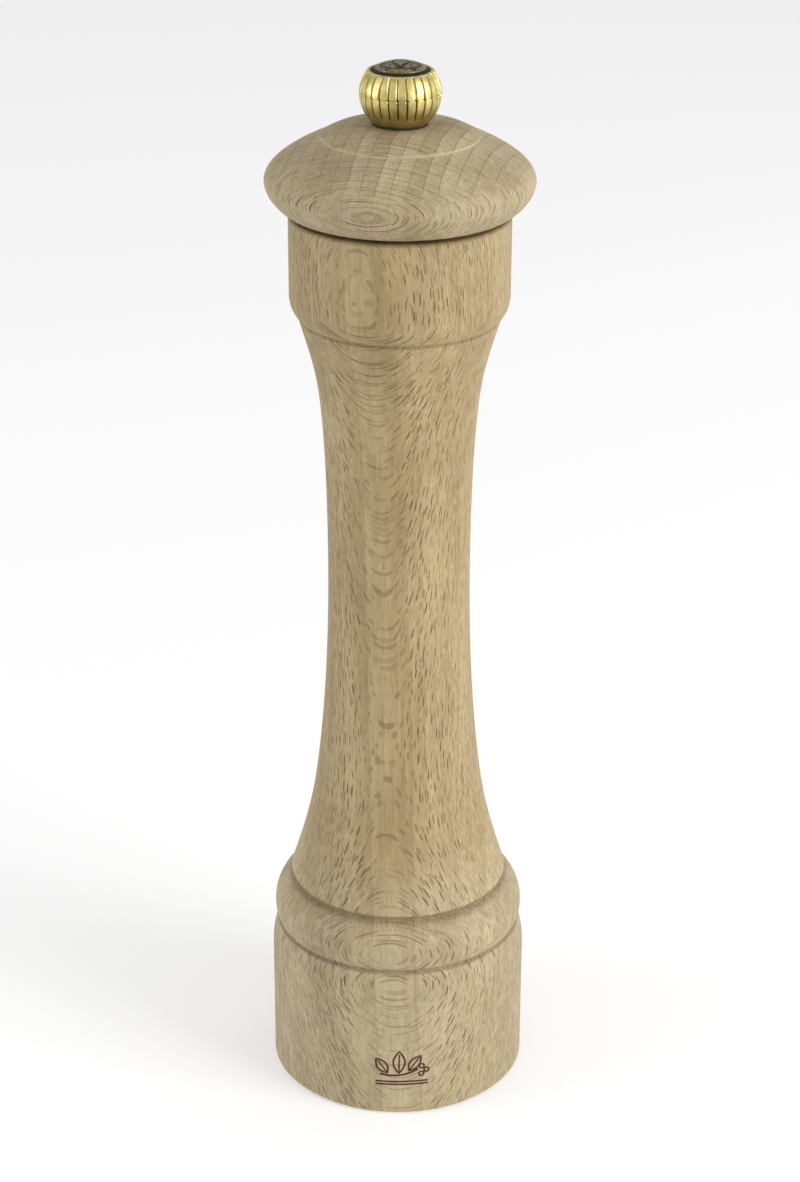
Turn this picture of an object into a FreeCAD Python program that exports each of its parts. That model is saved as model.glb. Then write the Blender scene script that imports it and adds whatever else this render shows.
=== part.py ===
"""Turned beech pepper mill with a mushroom head, a ribbed brass grind knob and a steel spiral-tooth
mechanism on a square drive shaft.

Frame: +Z up, origin at the centre of the base's flat underside, millimetres. Every piece is drawn where
it sits when the mill is assembled, closed and set to its coarsest grind.
"""

import FreeCAD, Part
import math
import os

V = FreeCAD.Vector
UP = V(0, 0, 1)

# ---------------------------------------------------------------- driving dimensions
# Wooden body, outside. Radii and heights of the turned profile.
BASE_RADIUS = 27.15
BASE_EDGE_CHAMFER = 0.5
SHOULDER_START_Z = 27.5
SHOULDER_ARC_RADIUS = 18.5
GROOVE_Z = 34.4
GROOVE_DEPTH = 0.35
BEAD_CENTRE_RADIUS = 18.2
BEAD_CENTRE_Z = 37.9
BEAD_ARC_RADIUS = 8.3
BEAD_TOP_Z = 45.1
FLARE_LIP_RADIUS = 22.9
FLARE_LIP_Z = 46.2
WAIST_RADIUS = 14.57
WAIST_Z = 115.0
# Neck, as (radius, height) from the flare's lip up to the crease under the collar.
NECK_BELOW_WAIST = [(20.85, 52.8), (18.60, 61.6), (16.62, 74.8), (15.20, 92.4)]
NECK_ABOVE_WAIST = [(14.82, 134.0), (15.66, 149.6), (16.82, 158.4)]
NECK_TOP = (19.55, 168.6)
COLLAR_CREASE_RADIUS = 20.1
COLLAR_CREASE_Z = 170.0
COLLAR_RADIUS = 21.86
COLLAR_ROUND_MIDDLE = (21.44, 172.25)
COLLAR_ROUND_TOP_Z = 174.4
COLLAR_TOP_Z = 191.7
COLLAR_EDGE_CHAMFER = 0.25

# Wooden body, inside.
PLATE_RECESS_RADIUS = 23.8
PLATE_RECESS_DEPTH = 2.0
RING_FLANGE_RADIUS = 19.5
RING_FLANGE_TOP_Z = 9.0
MECHANISM_RECESS_RADIUS = 18.5
MECHANISM_RECESS_TOP_Z = 31.0
CHAMBER_RADIUS = 11.0
SOCKET_RADIUS = 14.5
SOCKET_FLOOR_Z = 181.0

# Head.
HEAD_UNDERSIDE_Z = 192.3
HEAD_UNDERSIDE_RADIUS = 21.9
HEAD_LOWER_CURVE = [(22.45, 192.5), (24.0, 193.6), (25.72, 195.75)]
HEAD_WIDEST = (26.40, 198.3)
HEAD_UPPER_CURVE = [(25.65, 200.2), (23.36, 202.4), (19.85, 204.6)]
BOSS_RADIUS = 15.7
BOSS_FOOT_Z = 206.55
BOSS_STEP = 0.35
BOSS_MIDDLE = (12.9, 208.05)
BOSS_FLAT_RADIUS = 8.6
BOSS_TOP_Z = 209.0
SPIGOT_RADIUS = 14.2
SPIGOT_END_Z = 181.02
SPIGOT_CHAMFER = 0.5
HEAD_BORE_RADIUS = 3.9

# Drive shaft: round foot, square length, round threaded top.
SHAFT_ROUND_RADIUS = 2.4
SHAFT_SQUARE_WIDTH = 5.0
SHAFT_SQUARE_START_Z = 34.0
SHAFT_SQUARE_END_Z = 200.0
SHAFT_BOTTOM_Z = 0.6
SHAFT_TOP_Z = 215.4
SHAFT_TIP_CHAMFER = 0.4
RUNNING_CLEARANCE = 0.05
SQUARE_CLEARANCE = 0.08

# Grinding mechanism.
RING_BOTTOM_Z = 2.0
RING_TOP_Z = 18.0
RING_RADIUS = 18.0
CONE_BOTTOM_Z = 3.4
CONE_TOP_Z = 16.6
CONE_BOTTOM_RADIUS = 12.0
CONE_TOP_RADIUS = 7.9
GRIND_GAP = 0.85
TOOTH_DEPTH = 0.9
CONE_TEETH = 12
RING_TEETH = 16
TOOTH_TWIST_DEG = 42.0
TOOTH_SECTIONS = 5
TOOTH_TIP_START = 0.22
TOOTH_TIP_END = 0.42
SPRING_SEAT_THICKNESS = 0.6
SPRING_SEAT_RADIUS = 5.5
SPRING_RADIUS = 5.0
SPRING_WIRE = 0.9
THRUST_WASHER_Z = 24.3
THRUST_WASHER_THICKNESS = 0.6
BUSH_FLANGE_THICKNESS = 0.8
BUSH_RADIUS = 3.5
BUSH_FLANGE_RADIUS = 5.0
BUSH_STANDOUT = 0.8
BRIDGE_WIDTH = 8.0
BRIDGE_THICKNESS = 1.2
BRIDGE_HALF_SPAN = 12.0
BRIDGE_FOOT_END = 17.2
BRIDGE_BEND_RADIUS = 1.08
EDGE_TOLERANCE = 0.01
RIVET_X = 15.2
RIVET_RADIUS = 1.2
RIVET_HEAD_RADIUS = 2.1
RIVET_HEAD_HEIGHT = 1.0
RIVET_DEPTH = 4.0
BURR_WASHER_THICKNESS = 0.6
BURR_WASHER_RADIUS = 4.6
NUT_SET_BACK = 0.2
NUT_ACROSS_FLATS = 8.0
NUT_CHAMFER = 0.5
RETAINER_RADIUS = 23.6
RETAINER_INNER_RADIUS = 15.0
RETAINER_THICKNESS = 1.2
RETAINER_SCREWS = 3
RETAINER_SCREW_CIRCLE = 21.6
SCREW_RADIUS = 1.0
SCREW_HEAD_RADIUS = 1.9
RETAINER_SCREW_LENGTH = 9.0
DRIVE_PLATE_RADIUS = 10.4
DRIVE_PLATE_THICKNESS = 1.2
DRIVE_SCREW_X = 7.4
DRIVE_SCREW_LENGTH = 7.0
DRIVE_SCREW_HEAD = 0.8
DRIVE_SCREW_HEAD_RADIUS = 1.8
DRIVE_SLOT_LENGTH = 5.0
SCREW_SLOT_WIDTH = 0.5
SCREW_SLOT_DEPTH = 0.4

# Grind knob.
KNOB_WASHER_RADIUS = 5.45
KNOB_WASHER_THICKNESS = 0.4
KNOB_WASHER_HOLE = 2.9
WASHER_GAP = 0.02
KNOB_FOOT_BORE = 3.5
KNOB_RADIUS = 7.95
KNOB_WIDEST_Z = 215.2
KNOB_SHOULDER_ARC = 6.5
KNOB_RIM_RADIUS = 6.25
KNOB_CROWN_Z = 221.1
KNOB_CROWN_ARC = 11.3
KNOB_RECESS_Z = 218.6
KNOB_FLUTES = 27
FLUTE_DEPTH = 0.32
FLUTE_WIDTH = 0.75
FLUTE_BOTTOM_Z = 210.9
FLUTE_TOP_Z = 218.9
FLUTE_STEPS = 6
FLUTE_FADE_START = 0.08
FLUTE_FADE_SPAN = 0.84
FLUTE_FADE_POWER = 0.35
FLUTE_CUTTER_OVERHANG = 0.5
SEAM_WIDTH = 0.16
SEAM_DEPTH = 0.10
KNOB_RING_RADIUS = 5.8
KNOB_BADGE_RADIUS = 5.15
KNOB_RING_DROP = 0.12
INSERT_RADIUS = 4.2
INSERT_KNURL_RADIUS = 4.6
INSERT_BAND_LENGTH = 2.6
INSERT_BOTTOM_Z = 210.4
INSERT_TOP_Z = 217.9
INSERT_BORE_TOP_Z = 217.4


# ---------------------------------------------------------------- small helpers
def at(radius, z):
    """A point of a turned profile, in the XZ plane."""
    return V(radius, 0, z)


def line(a, b):
    return Part.LineSegment(a, b).toShape()


def arc(a, middle, b):
    return Part.Arc(a, middle, b).toShape()


def curve(points):
    """A smooth curve through the points."""
    spline = Part.BSplineCurve()
    spline.interpolate(points)
    return spline.toShape()


def turn(edges):
    """The solid that a closed half-profile sweeps about the Z axis."""
    face = Part.Face(Part.Wire(edges))
    return face.revolve(V(0, 0, 0), UP, 360)


def cylinder(radius, low, high, x=0.0, y=0.0):
    return Part.makeCylinder(radius, high - low, V(x, y, low), UP)


def tube(outer, inner, low, high):
    return cylinder(outer, low, high).cut(cylinder(inner, low - 1, high + 1))


def square_bar(width, low, high):
    half = width / 2
    return Part.makeBox(width, width, high - low, V(-half, -half, low))


def arc_point(centre_radius, centre_z, radius, z, outer=True):
    """The point at height z of an arc about (centre_radius, centre_z)."""
    reach = math.sqrt(radius**2 - (z - centre_z) ** 2)
    return at(centre_radius + (reach if outer else -reach), z)


def write(name, shape):
    os.makedirs("parts", exist_ok=True)
    solids = shape.Solids
    if not solids or not all(s.isValid() for s in solids):
        raise ValueError(name + " is not a valid solid")
    result = solids[0] if len(solids) == 1 else Part.makeCompound(solids)
    result.exportStep("parts/" + name + ".step")
    size = result.BoundBox
    print(f"{name:20s} {len(solids)} solid(s)  z {size.ZMin:7.2f} .. {size.ZMax:7.2f}")


# ---------------------------------------------------------------- wooden body and head
def shoulder_point(z):
    """The base's rounded shoulder, which starts upright at the shoulder's height."""
    return arc_point(BASE_RADIUS - SHOULDER_ARC_RADIUS, SHOULDER_START_Z, SHOULDER_ARC_RADIUS, z)


def bead_point(z):
    return arc_point(BEAD_CENTRE_RADIUS, BEAD_CENTRE_Z, BEAD_ARC_RADIUS, z)


def make_body():
    """The body is one turned piece: base, bead, neck and collar, bored right through."""
    shoulder_end = shoulder_point(GROOVE_Z)
    bead_start = bead_point(GROOVE_Z + GROOVE_DEPTH)
    groove = at(min(shoulder_end.x, bead_start.x) - GROOVE_DEPTH, GROOVE_Z + GROOVE_DEPTH / 2)
    bead_end = bead_point(BEAD_TOP_Z)
    lip = at(FLARE_LIP_RADIUS, FLARE_LIP_Z)
    neck = [lip]
    neck += [at(*p) for p in NECK_BELOW_WAIST]
    neck += [at(WAIST_RADIUS, WAIST_Z)]
    neck += [at(*p) for p in NECK_ABOVE_WAIST]
    neck += [at(*NECK_TOP)]
    crease = at(COLLAR_CREASE_RADIUS, COLLAR_CREASE_Z)
    collar_low = at(COLLAR_RADIUS, COLLAR_ROUND_TOP_Z)
    round_middle = at(*COLLAR_ROUND_MIDDLE)
    rim = at(COLLAR_RADIUS, COLLAR_TOP_Z - COLLAR_EDGE_CHAMFER)
    rim_in = at(COLLAR_RADIUS - COLLAR_EDGE_CHAMFER, COLLAR_TOP_Z)
    foot = at(BASE_RADIUS, BASE_EDGE_CHAMFER)
    foot_in = at(BASE_RADIUS - BASE_EDGE_CHAMFER, 0)
    shoulder_start = at(BASE_RADIUS, SHOULDER_START_Z)
    shoulder_middle = shoulder_point((SHOULDER_START_Z + GROOVE_Z) / 2)
    inside = [
        at(SOCKET_RADIUS, COLLAR_TOP_Z),
        at(SOCKET_RADIUS, SOCKET_FLOOR_Z),
        at(CHAMBER_RADIUS, SOCKET_FLOOR_Z),
        at(CHAMBER_RADIUS, MECHANISM_RECESS_TOP_Z),
        at(MECHANISM_RECESS_RADIUS, MECHANISM_RECESS_TOP_Z),
        at(MECHANISM_RECESS_RADIUS, RING_FLANGE_TOP_Z),
        at(RING_FLANGE_RADIUS, RING_FLANGE_TOP_Z),
        at(RING_FLANGE_RADIUS, PLATE_RECESS_DEPTH),
        at(PLATE_RECESS_RADIUS, PLATE_RECESS_DEPTH),
        at(PLATE_RECESS_RADIUS, 0),
    ]
    edges = [
        line(foot_in, foot),
        line(foot, shoulder_start),
        arc(shoulder_start, shoulder_middle, shoulder_end),
        line(shoulder_end, groove),
        line(groove, bead_start),
        arc(bead_start, bead_point(BEAD_CENTRE_Z), bead_end),
        line(bead_end, lip),
        curve(neck),
        line(neck[-1], crease),
        arc(crease, round_middle, collar_low),
        line(collar_low, rim),
        line(rim, rim_in),
        line(rim_in, inside[0]),
    ]
    edges += [line(a, b) for a, b in zip(inside, inside[1:])]
    edges += [line(inside[-1], foot_in)]
    return turn(edges)


def make_head():
    """The mushroom head with its raised boss, its spigot and the shaft's clearance bore."""
    boss_foot = at(BOSS_RADIUS, BOSS_FOOT_Z)
    boss_edge = at(BOSS_RADIUS - BOSS_STEP, BOSS_FOOT_Z + BOSS_STEP)
    underside = at(HEAD_UNDERSIDE_RADIUS, HEAD_UNDERSIDE_Z)
    rim = [underside] + [at(*p) for p in HEAD_LOWER_CURVE] + [at(*HEAD_WIDEST)]
    rim += [at(*p) for p in HEAD_UPPER_CURVE] + [boss_foot]
    flat_edge = at(BOSS_FLAT_RADIUS, BOSS_TOP_Z)
    outline = [
        at(HEAD_BORE_RADIUS, SPIGOT_END_Z),
        at(SPIGOT_RADIUS - SPIGOT_CHAMFER, SPIGOT_END_Z),
        at(SPIGOT_RADIUS, SPIGOT_END_Z + SPIGOT_CHAMFER),
        at(SPIGOT_RADIUS, HEAD_UNDERSIDE_Z),
        underside,
    ]
    edges = [line(a, b) for a, b in zip(outline, outline[1:])]
    edges += [curve(rim), line(boss_foot, boss_edge), arc(boss_edge, at(*BOSS_MIDDLE), flat_edge)]
    bore_top = at(HEAD_BORE_RADIUS, BOSS_TOP_Z)
    edges += [line(flat_edge, bore_top), line(bore_top, outline[0])]
    return turn(edges)


# ---------------------------------------------------------------- shaft and grinding mechanism
def tooth_section(z, tip, root, teeth, twist):
    """One sawtooth outline of a toothed cone or bore, turned by the twist."""
    points = []
    for i in range(teeth):
        start = twist + i * 2 * math.pi / teeth
        for radius, share in ((root, 0.0), (tip, TOOTH_TIP_START), (tip, TOOTH_TIP_END)):
            angle = start + share * 2 * math.pi / teeth
            points.append(V(radius * math.cos(angle), radius * math.sin(angle), z))
    return Part.makePolygon(points + [points[0]])


def toothed(low, high, tip_low, tip_high, depth, teeth):
    """A tapered solid with spiral teeth: the tips stand depth beyond the roots."""
    sections = []
    for i in range(TOOTH_SECTIONS):
        share = i / (TOOTH_SECTIONS - 1)
        tip = tip_low + (tip_high - tip_low) * share
        twist = math.radians(TOOTH_TWIST_DEG) * share
        sections.append(tooth_section(low + (high - low) * share, tip, tip - depth, teeth, twist))
    return Part.makeLoft(sections, True, True)


def cone_radius(z):
    """The cone's outer radius at a height, which carries on past its ends for the ring's bore."""
    share = (z - CONE_BOTTOM_Z) / (CONE_TOP_Z - CONE_BOTTOM_Z)
    return CONE_BOTTOM_RADIUS + (CONE_TOP_RADIUS - CONE_BOTTOM_RADIUS) * share


def make_shaft():
    bar = square_bar(SHAFT_SQUARE_WIDTH, SHAFT_SQUARE_START_Z, SHAFT_SQUARE_END_Z)
    foot = cylinder(SHAFT_ROUND_RADIUS, SHAFT_BOTTOM_Z, SHAFT_SQUARE_START_Z)
    tip_z = SHAFT_TOP_Z - SHAFT_TIP_CHAMFER
    tip_radius = SHAFT_ROUND_RADIUS - SHAFT_TIP_CHAMFER
    top = cylinder(SHAFT_ROUND_RADIUS, SHAFT_SQUARE_END_Z, tip_z)
    tip = Part.makeCone(SHAFT_ROUND_RADIUS, tip_radius, SHAFT_TIP_CHAMFER, V(0, 0, tip_z), UP)
    return bar.fuse([foot, top, tip]).removeSplitter()


def make_burr_cone():
    """The turning cone, with a bore for the shaft's round foot."""
    cone = toothed(
        CONE_BOTTOM_Z, CONE_TOP_Z, CONE_BOTTOM_RADIUS, CONE_TOP_RADIUS, TOOTH_DEPTH, CONE_TEETH
    )
    return cone.cut(cylinder(SHAFT_ROUND_RADIUS, CONE_BOTTOM_Z - 1, CONE_TOP_Z + 1))


def make_burr_ring():
    """The fixed ring: its teeth point inwards and clear the cone at every setting."""
    blank = cylinder(RING_RADIUS, RING_BOTTOM_Z, RING_TOP_Z)
    blank = blank.fuse(cylinder(RING_FLANGE_RADIUS, RING_BOTTOM_Z, RING_FLANGE_TOP_Z)).removeSplitter()
    low = RING_BOTTOM_Z - 0.5
    high = RING_TOP_Z + 0.5
    outer_low = cone_radius(low) + GRIND_GAP + TOOTH_DEPTH
    outer_high = cone_radius(high) + GRIND_GAP + TOOTH_DEPTH
    blank = blank.cut(toothed(low, high, outer_low, outer_high, TOOTH_DEPTH, RING_TEETH))
    hole_z = RING_TOP_Z - RIVET_DEPTH
    holes = [cylinder(RIVET_RADIUS, hole_z, RING_TOP_Z + 1, side * RIVET_X) for side in (-1, 1)]
    return blank.cut(holes)


def bridge_bar_z():
    return THRUST_WASHER_Z + THRUST_WASHER_THICKNESS + BUSH_FLANGE_THICKNESS


def is_bend(edge, bar_top):
    """Whether an edge of the strap is one of its two outer bends, which run across its width."""
    start, end = edge.Vertexes[0].Point, edge.Vertexes[-1].Point
    across = max(abs(start.x - end.x), abs(start.z - end.z)) < EDGE_TOLERANCE
    outer = abs(abs(start.x) - BRIDGE_HALF_SPAN - BRIDGE_THICKNESS) < EDGE_TOLERANCE
    return across and outer and abs(start.z - bar_top) < EDGE_TOLERANCE


def make_bridge():
    """A strap bent over the ring: two feet, two legs and a bar with the bush's hole."""
    bar_top = bridge_bar_z() + BRIDGE_THICKNESS
    foot_top = RING_TOP_Z + BRIDGE_THICKNESS
    half = BRIDGE_WIDTH / 2
    outline = [
        (-BRIDGE_FOOT_END, RING_TOP_Z),
        (-BRIDGE_HALF_SPAN, RING_TOP_Z),
        (-BRIDGE_HALF_SPAN, bridge_bar_z()),
        (BRIDGE_HALF_SPAN, bridge_bar_z()),
        (BRIDGE_HALF_SPAN, RING_TOP_Z),
        (BRIDGE_FOOT_END, RING_TOP_Z),
        (BRIDGE_FOOT_END, foot_top),
        (BRIDGE_HALF_SPAN + BRIDGE_THICKNESS, foot_top),
        (BRIDGE_HALF_SPAN + BRIDGE_THICKNESS, bar_top),
        (-BRIDGE_HALF_SPAN - BRIDGE_THICKNESS, bar_top),
        (-BRIDGE_HALF_SPAN - BRIDGE_THICKNESS, foot_top),
        (-BRIDGE_FOOT_END, foot_top),
    ]
    points = [V(x, -half, z) for x, z in outline]
    strap = Part.Face(Part.makePolygon(points + [points[0]])).extrude(V(0, BRIDGE_WIDTH, 0))
    corners = [edge for edge in strap.Edges if is_bend(edge, bar_top)]
    strap = strap.makeFillet(BRIDGE_BEND_RADIUS, corners)
    strap = strap.cut(cylinder(BUSH_RADIUS, bridge_bar_z() - 1, bar_top + 1))
    holes = [
        cylinder(RIVET_RADIUS, RING_TOP_Z - 1, foot_top + 1, side * RIVET_X) for side in (-1, 1)
    ]
    return strap.cut(holes)


def make_rivet(x):
    head_z = RING_TOP_Z + BRIDGE_THICKNESS
    shank = cylinder(RIVET_RADIUS, RING_TOP_Z - RIVET_DEPTH, head_z, x)
    ball = (RIVET_HEAD_RADIUS**2 + RIVET_HEAD_HEIGHT**2) / (2 * RIVET_HEAD_HEIGHT)
    dome = Part.makeSphere(ball, V(x, 0, head_z + RIVET_HEAD_HEIGHT - ball))
    head = dome.common(cylinder(RIVET_HEAD_RADIUS + 1, head_z, head_z + RIVET_HEAD_HEIGHT + 1, x))
    return shank.fuse(head).removeSplitter()


def make_bush():
    """A flanged bush in the bridge: the shaft's round foot turns and slides in it."""
    flange_z = THRUST_WASHER_Z + THRUST_WASHER_THICKNESS
    top = bridge_bar_z() + BRIDGE_THICKNESS + BUSH_STANDOUT
    bush = cylinder(BUSH_RADIUS, bridge_bar_z(), top).fuse(
        cylinder(BUSH_FLANGE_RADIUS, flange_z, bridge_bar_z())
    )
    bore = cylinder(SHAFT_ROUND_RADIUS + RUNNING_CLEARANCE, flange_z - 1, top + 1)
    return bush.removeSplitter().cut(bore)


def make_nut():
    """A hexagon nut with chamfered corners."""
    low = SHAFT_BOTTOM_Z + NUT_SET_BACK
    high = CONE_BOTTOM_Z - BURR_WASHER_THICKNESS
    corner = NUT_ACROSS_FLATS / math.sqrt(3)
    turns = [i * math.pi / 3 for i in range(7)]
    points = [V(corner * math.cos(a), corner * math.sin(a), low) for a in turns]
    prism = Part.Face(Part.makePolygon(points)).extrude(V(0, 0, high - low))
    cone_height = NUT_CHAMFER * 4
    barrel = Part.makeCone(
        corner - NUT_CHAMFER, corner - NUT_CHAMFER + cone_height, cone_height, V(0, 0, low), UP
    )
    barrel = barrel.fuse(cylinder(corner + 1, low + NUT_CHAMFER * 2, high))
    return prism.common(barrel).cut(cylinder(SHAFT_ROUND_RADIUS, low - 1, high + 1))


def make_retaining_plate():
    low = PLATE_RECESS_DEPTH - RETAINER_THICKNESS
    plate = tube(RETAINER_RADIUS, RETAINER_INNER_RADIUS, low, PLATE_RECESS_DEPTH)
    for x, y in retaining_screw_places():
        plate = plate.cut(countersink(x, y, low))
    return plate


def retaining_screw_places():
    """Centres of the retaining screws: evenly round their circle, the first at the back."""
    angles = [math.pi / 2 + 2 * math.pi * i / RETAINER_SCREWS for i in range(RETAINER_SCREWS)]
    return [(RETAINER_SCREW_CIRCLE * math.cos(a), RETAINER_SCREW_CIRCLE * math.sin(a)) for a in angles]


def countersink(x, y, low):
    """The head and shank of a countersunk screw that points up."""
    depth = SCREW_HEAD_RADIUS - SCREW_RADIUS
    head = Part.makeCone(SCREW_HEAD_RADIUS, SCREW_RADIUS, depth, V(x, y, low), UP)
    shank = cylinder(SCREW_RADIUS, low + depth, low + RETAINER_SCREW_LENGTH, x, y)
    return head.fuse(shank).removeSplitter()


def make_retaining_screw(x, y):
    low = PLATE_RECESS_DEPTH - RETAINER_THICKNESS
    length = 2 * SCREW_HEAD_RADIUS + 1
    corner = V(x - length / 2, y - SCREW_SLOT_WIDTH / 2, low)
    slot = Part.makeBox(length, SCREW_SLOT_WIDTH, SCREW_SLOT_DEPTH, corner)
    return countersink(x, y, low).cut(slot)


def drill_screw_holes(body):
    """The pilot holes of the retaining screws in the wood."""
    low = PLATE_RECESS_DEPTH - RETAINER_THICKNESS
    return body.cut([countersink(x, y, low) for x, y in retaining_screw_places()])


# ---------------------------------------------------------------- drive plate
def drive_screw_shape(x):
    plate_low = SPIGOT_END_Z - DRIVE_PLATE_THICKNESS
    head = cylinder(DRIVE_SCREW_HEAD_RADIUS, plate_low - DRIVE_SCREW_HEAD, plate_low, x)
    return cylinder(SCREW_RADIUS, plate_low, SPIGOT_END_Z + DRIVE_SCREW_LENGTH, x).fuse(head)


def make_drive_plate():
    low = SPIGOT_END_Z - DRIVE_PLATE_THICKNESS
    plate = cylinder(DRIVE_PLATE_RADIUS, low, SPIGOT_END_Z)
    hole = square_bar(SHAFT_SQUARE_WIDTH + 2 * SQUARE_CLEARANCE, low - 1, SPIGOT_END_Z + 1)
    return plate.cut([hole] + [drive_screw_shape(side * DRIVE_SCREW_X) for side in (-1, 1)])


def make_drive_screw(x):
    low = SPIGOT_END_Z - DRIVE_PLATE_THICKNESS - DRIVE_SCREW_HEAD
    corner = V(x - DRIVE_SLOT_LENGTH / 2, -SCREW_SLOT_WIDTH / 2, low)
    slot = Part.makeBox(DRIVE_SLOT_LENGTH, SCREW_SLOT_WIDTH, SCREW_SLOT_DEPTH, corner)
    return drive_screw_shape(x).removeSplitter().cut(slot)


# ---------------------------------------------------------------- knob
def crown_z(radius):
    """Height of the knob's shallow top dome at a radius."""
    return KNOB_CROWN_Z - KNOB_CROWN_ARC + math.sqrt(KNOB_CROWN_ARC**2 - radius**2)


def knob_side_radius(z):
    """The ball's outer radius: round below its widest height, a tighter shoulder above it."""
    if z <= KNOB_WIDEST_Z:
        return math.sqrt(KNOB_RADIUS**2 - (z - KNOB_WIDEST_Z) ** 2)
    return KNOB_RADIUS - KNOB_SHOULDER_ARC + math.sqrt(KNOB_SHOULDER_ARC**2 - (z - KNOB_WIDEST_Z) ** 2)


def shoulder_z(radius):
    """Height of the knob's upper arc at a radius."""
    reach = radius - (KNOB_RADIUS - KNOB_SHOULDER_ARC)
    return KNOB_WIDEST_Z + math.sqrt(KNOB_SHOULDER_ARC**2 - reach**2)


def knob_blank():
    low = BOSS_TOP_Z + KNOB_WASHER_THICKNESS
    rim_top = crown_z(KNOB_RING_RADIUS)
    widest = at(KNOB_RADIUS, KNOB_WIDEST_Z)
    foot = at(knob_side_radius(low), low)
    middle_low = (low + KNOB_WIDEST_Z) / 2
    rim = at(KNOB_RIM_RADIUS, min(shoulder_z(KNOB_RIM_RADIUS), rim_top))
    middle_high = (rim.z + KNOB_WIDEST_Z) / 2
    recess_rim = at(KNOB_RING_RADIUS, rim_top)
    inside = [
        recess_rim,
        at(KNOB_RING_RADIUS, KNOB_RECESS_Z),
        at(0, KNOB_RECESS_Z),
        at(0, INSERT_TOP_Z),
        at(INSERT_KNURL_RADIUS, INSERT_TOP_Z),
        at(INSERT_KNURL_RADIUS, INSERT_BOTTOM_Z),
        at(KNOB_FOOT_BORE, INSERT_BOTTOM_Z),
        at(KNOB_FOOT_BORE, low),
    ]
    edges = [
        arc(foot, at(knob_side_radius(middle_low), middle_low), widest),
        arc(widest, at(knob_side_radius(middle_high), middle_high), rim),
        line(rim, recess_rim),
    ]
    edges += [line(a, b) for a, b in zip(inside, inside[1:])]
    edges += [line(inside[-1], foot)]
    return turn(edges)


def flute_cutter():
    """A V-shaped cutter that follows the ball's side, for one flute."""
    sections = []
    for i in range(FLUTE_STEPS + 1):
        share = i / FLUTE_STEPS
        z = FLUTE_BOTTOM_Z + (FLUTE_TOP_Z - FLUTE_BOTTOM_Z) * share
        radius = knob_side_radius(z)
        fade = math.sin(math.pi * (FLUTE_FADE_START + FLUTE_FADE_SPAN * share)) ** FLUTE_FADE_POWER
        deep = radius - FLUTE_DEPTH * fade
        out = radius + FLUTE_CUTTER_OVERHANG
        half = FLUTE_WIDTH / 2 * radius / KNOB_RADIUS * (out - deep) / FLUTE_DEPTH
        points = [V(deep, 0, z), V(out, half, z), V(out, -half, z)]
        sections.append(Part.makePolygon(points + [points[0]]))
    return Part.makeLoft(sections, True, True)


def make_knob_shell():
    """The ball with its flutes and the fine parting line round its widest part."""
    cutter = flute_cutter()
    cutters = []
    for i in range(KNOB_FLUTES):
        copy = cutter.copy()
        copy.rotate(V(0, 0, 0), UP, 360 * i / KNOB_FLUTES)
        cutters.append(copy)
    shell = knob_blank().cut(cutters)
    low = KNOB_WIDEST_Z - SEAM_WIDTH / 2
    seam = tube(KNOB_RADIUS + 1, KNOB_RADIUS - SEAM_DEPTH, low, low + SEAM_WIDTH)
    return shell.cut(seam)


def make_knob_insert():
    """The threaded insert: its bore runs on the shaft's threaded end."""
    insert = cylinder(INSERT_RADIUS, INSERT_BOTTOM_Z, INSERT_TOP_Z)
    bands = [
        cylinder(INSERT_KNURL_RADIUS, INSERT_BOTTOM_Z, INSERT_BOTTOM_Z + INSERT_BAND_LENGTH),
        cylinder(INSERT_KNURL_RADIUS, INSERT_TOP_Z - INSERT_BAND_LENGTH, INSERT_TOP_Z),
    ]
    insert = insert.fuse(bands).removeSplitter()
    bore_radius = SHAFT_ROUND_RADIUS + RUNNING_CLEARANCE
    return insert.cut(cylinder(bore_radius, INSERT_BOTTOM_Z - 1, INSERT_BORE_TOP_Z))


def make_knob_ring():
    top = crown_z(KNOB_RING_RADIUS) - KNOB_RING_DROP
    return tube(KNOB_RING_RADIUS, KNOB_BADGE_RADIUS, KNOB_RECESS_Z, top)


def make_knob_badge():
    """The domed disc inside the ring."""
    edge_z = crown_z(KNOB_BADGE_RADIUS)
    half = KNOB_BADGE_RADIUS / 2
    foot = at(KNOB_BADGE_RADIUS, KNOB_RECESS_Z)
    edge = at(KNOB_BADGE_RADIUS, edge_z)
    crown = at(0, KNOB_CROWN_Z)
    centre = at(0, KNOB_RECESS_Z)
    dome = arc(edge, at(half, crown_z(half)), crown)
    return turn([line(centre, foot), line(foot, edge), dome, line(crown, centre)])


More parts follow.
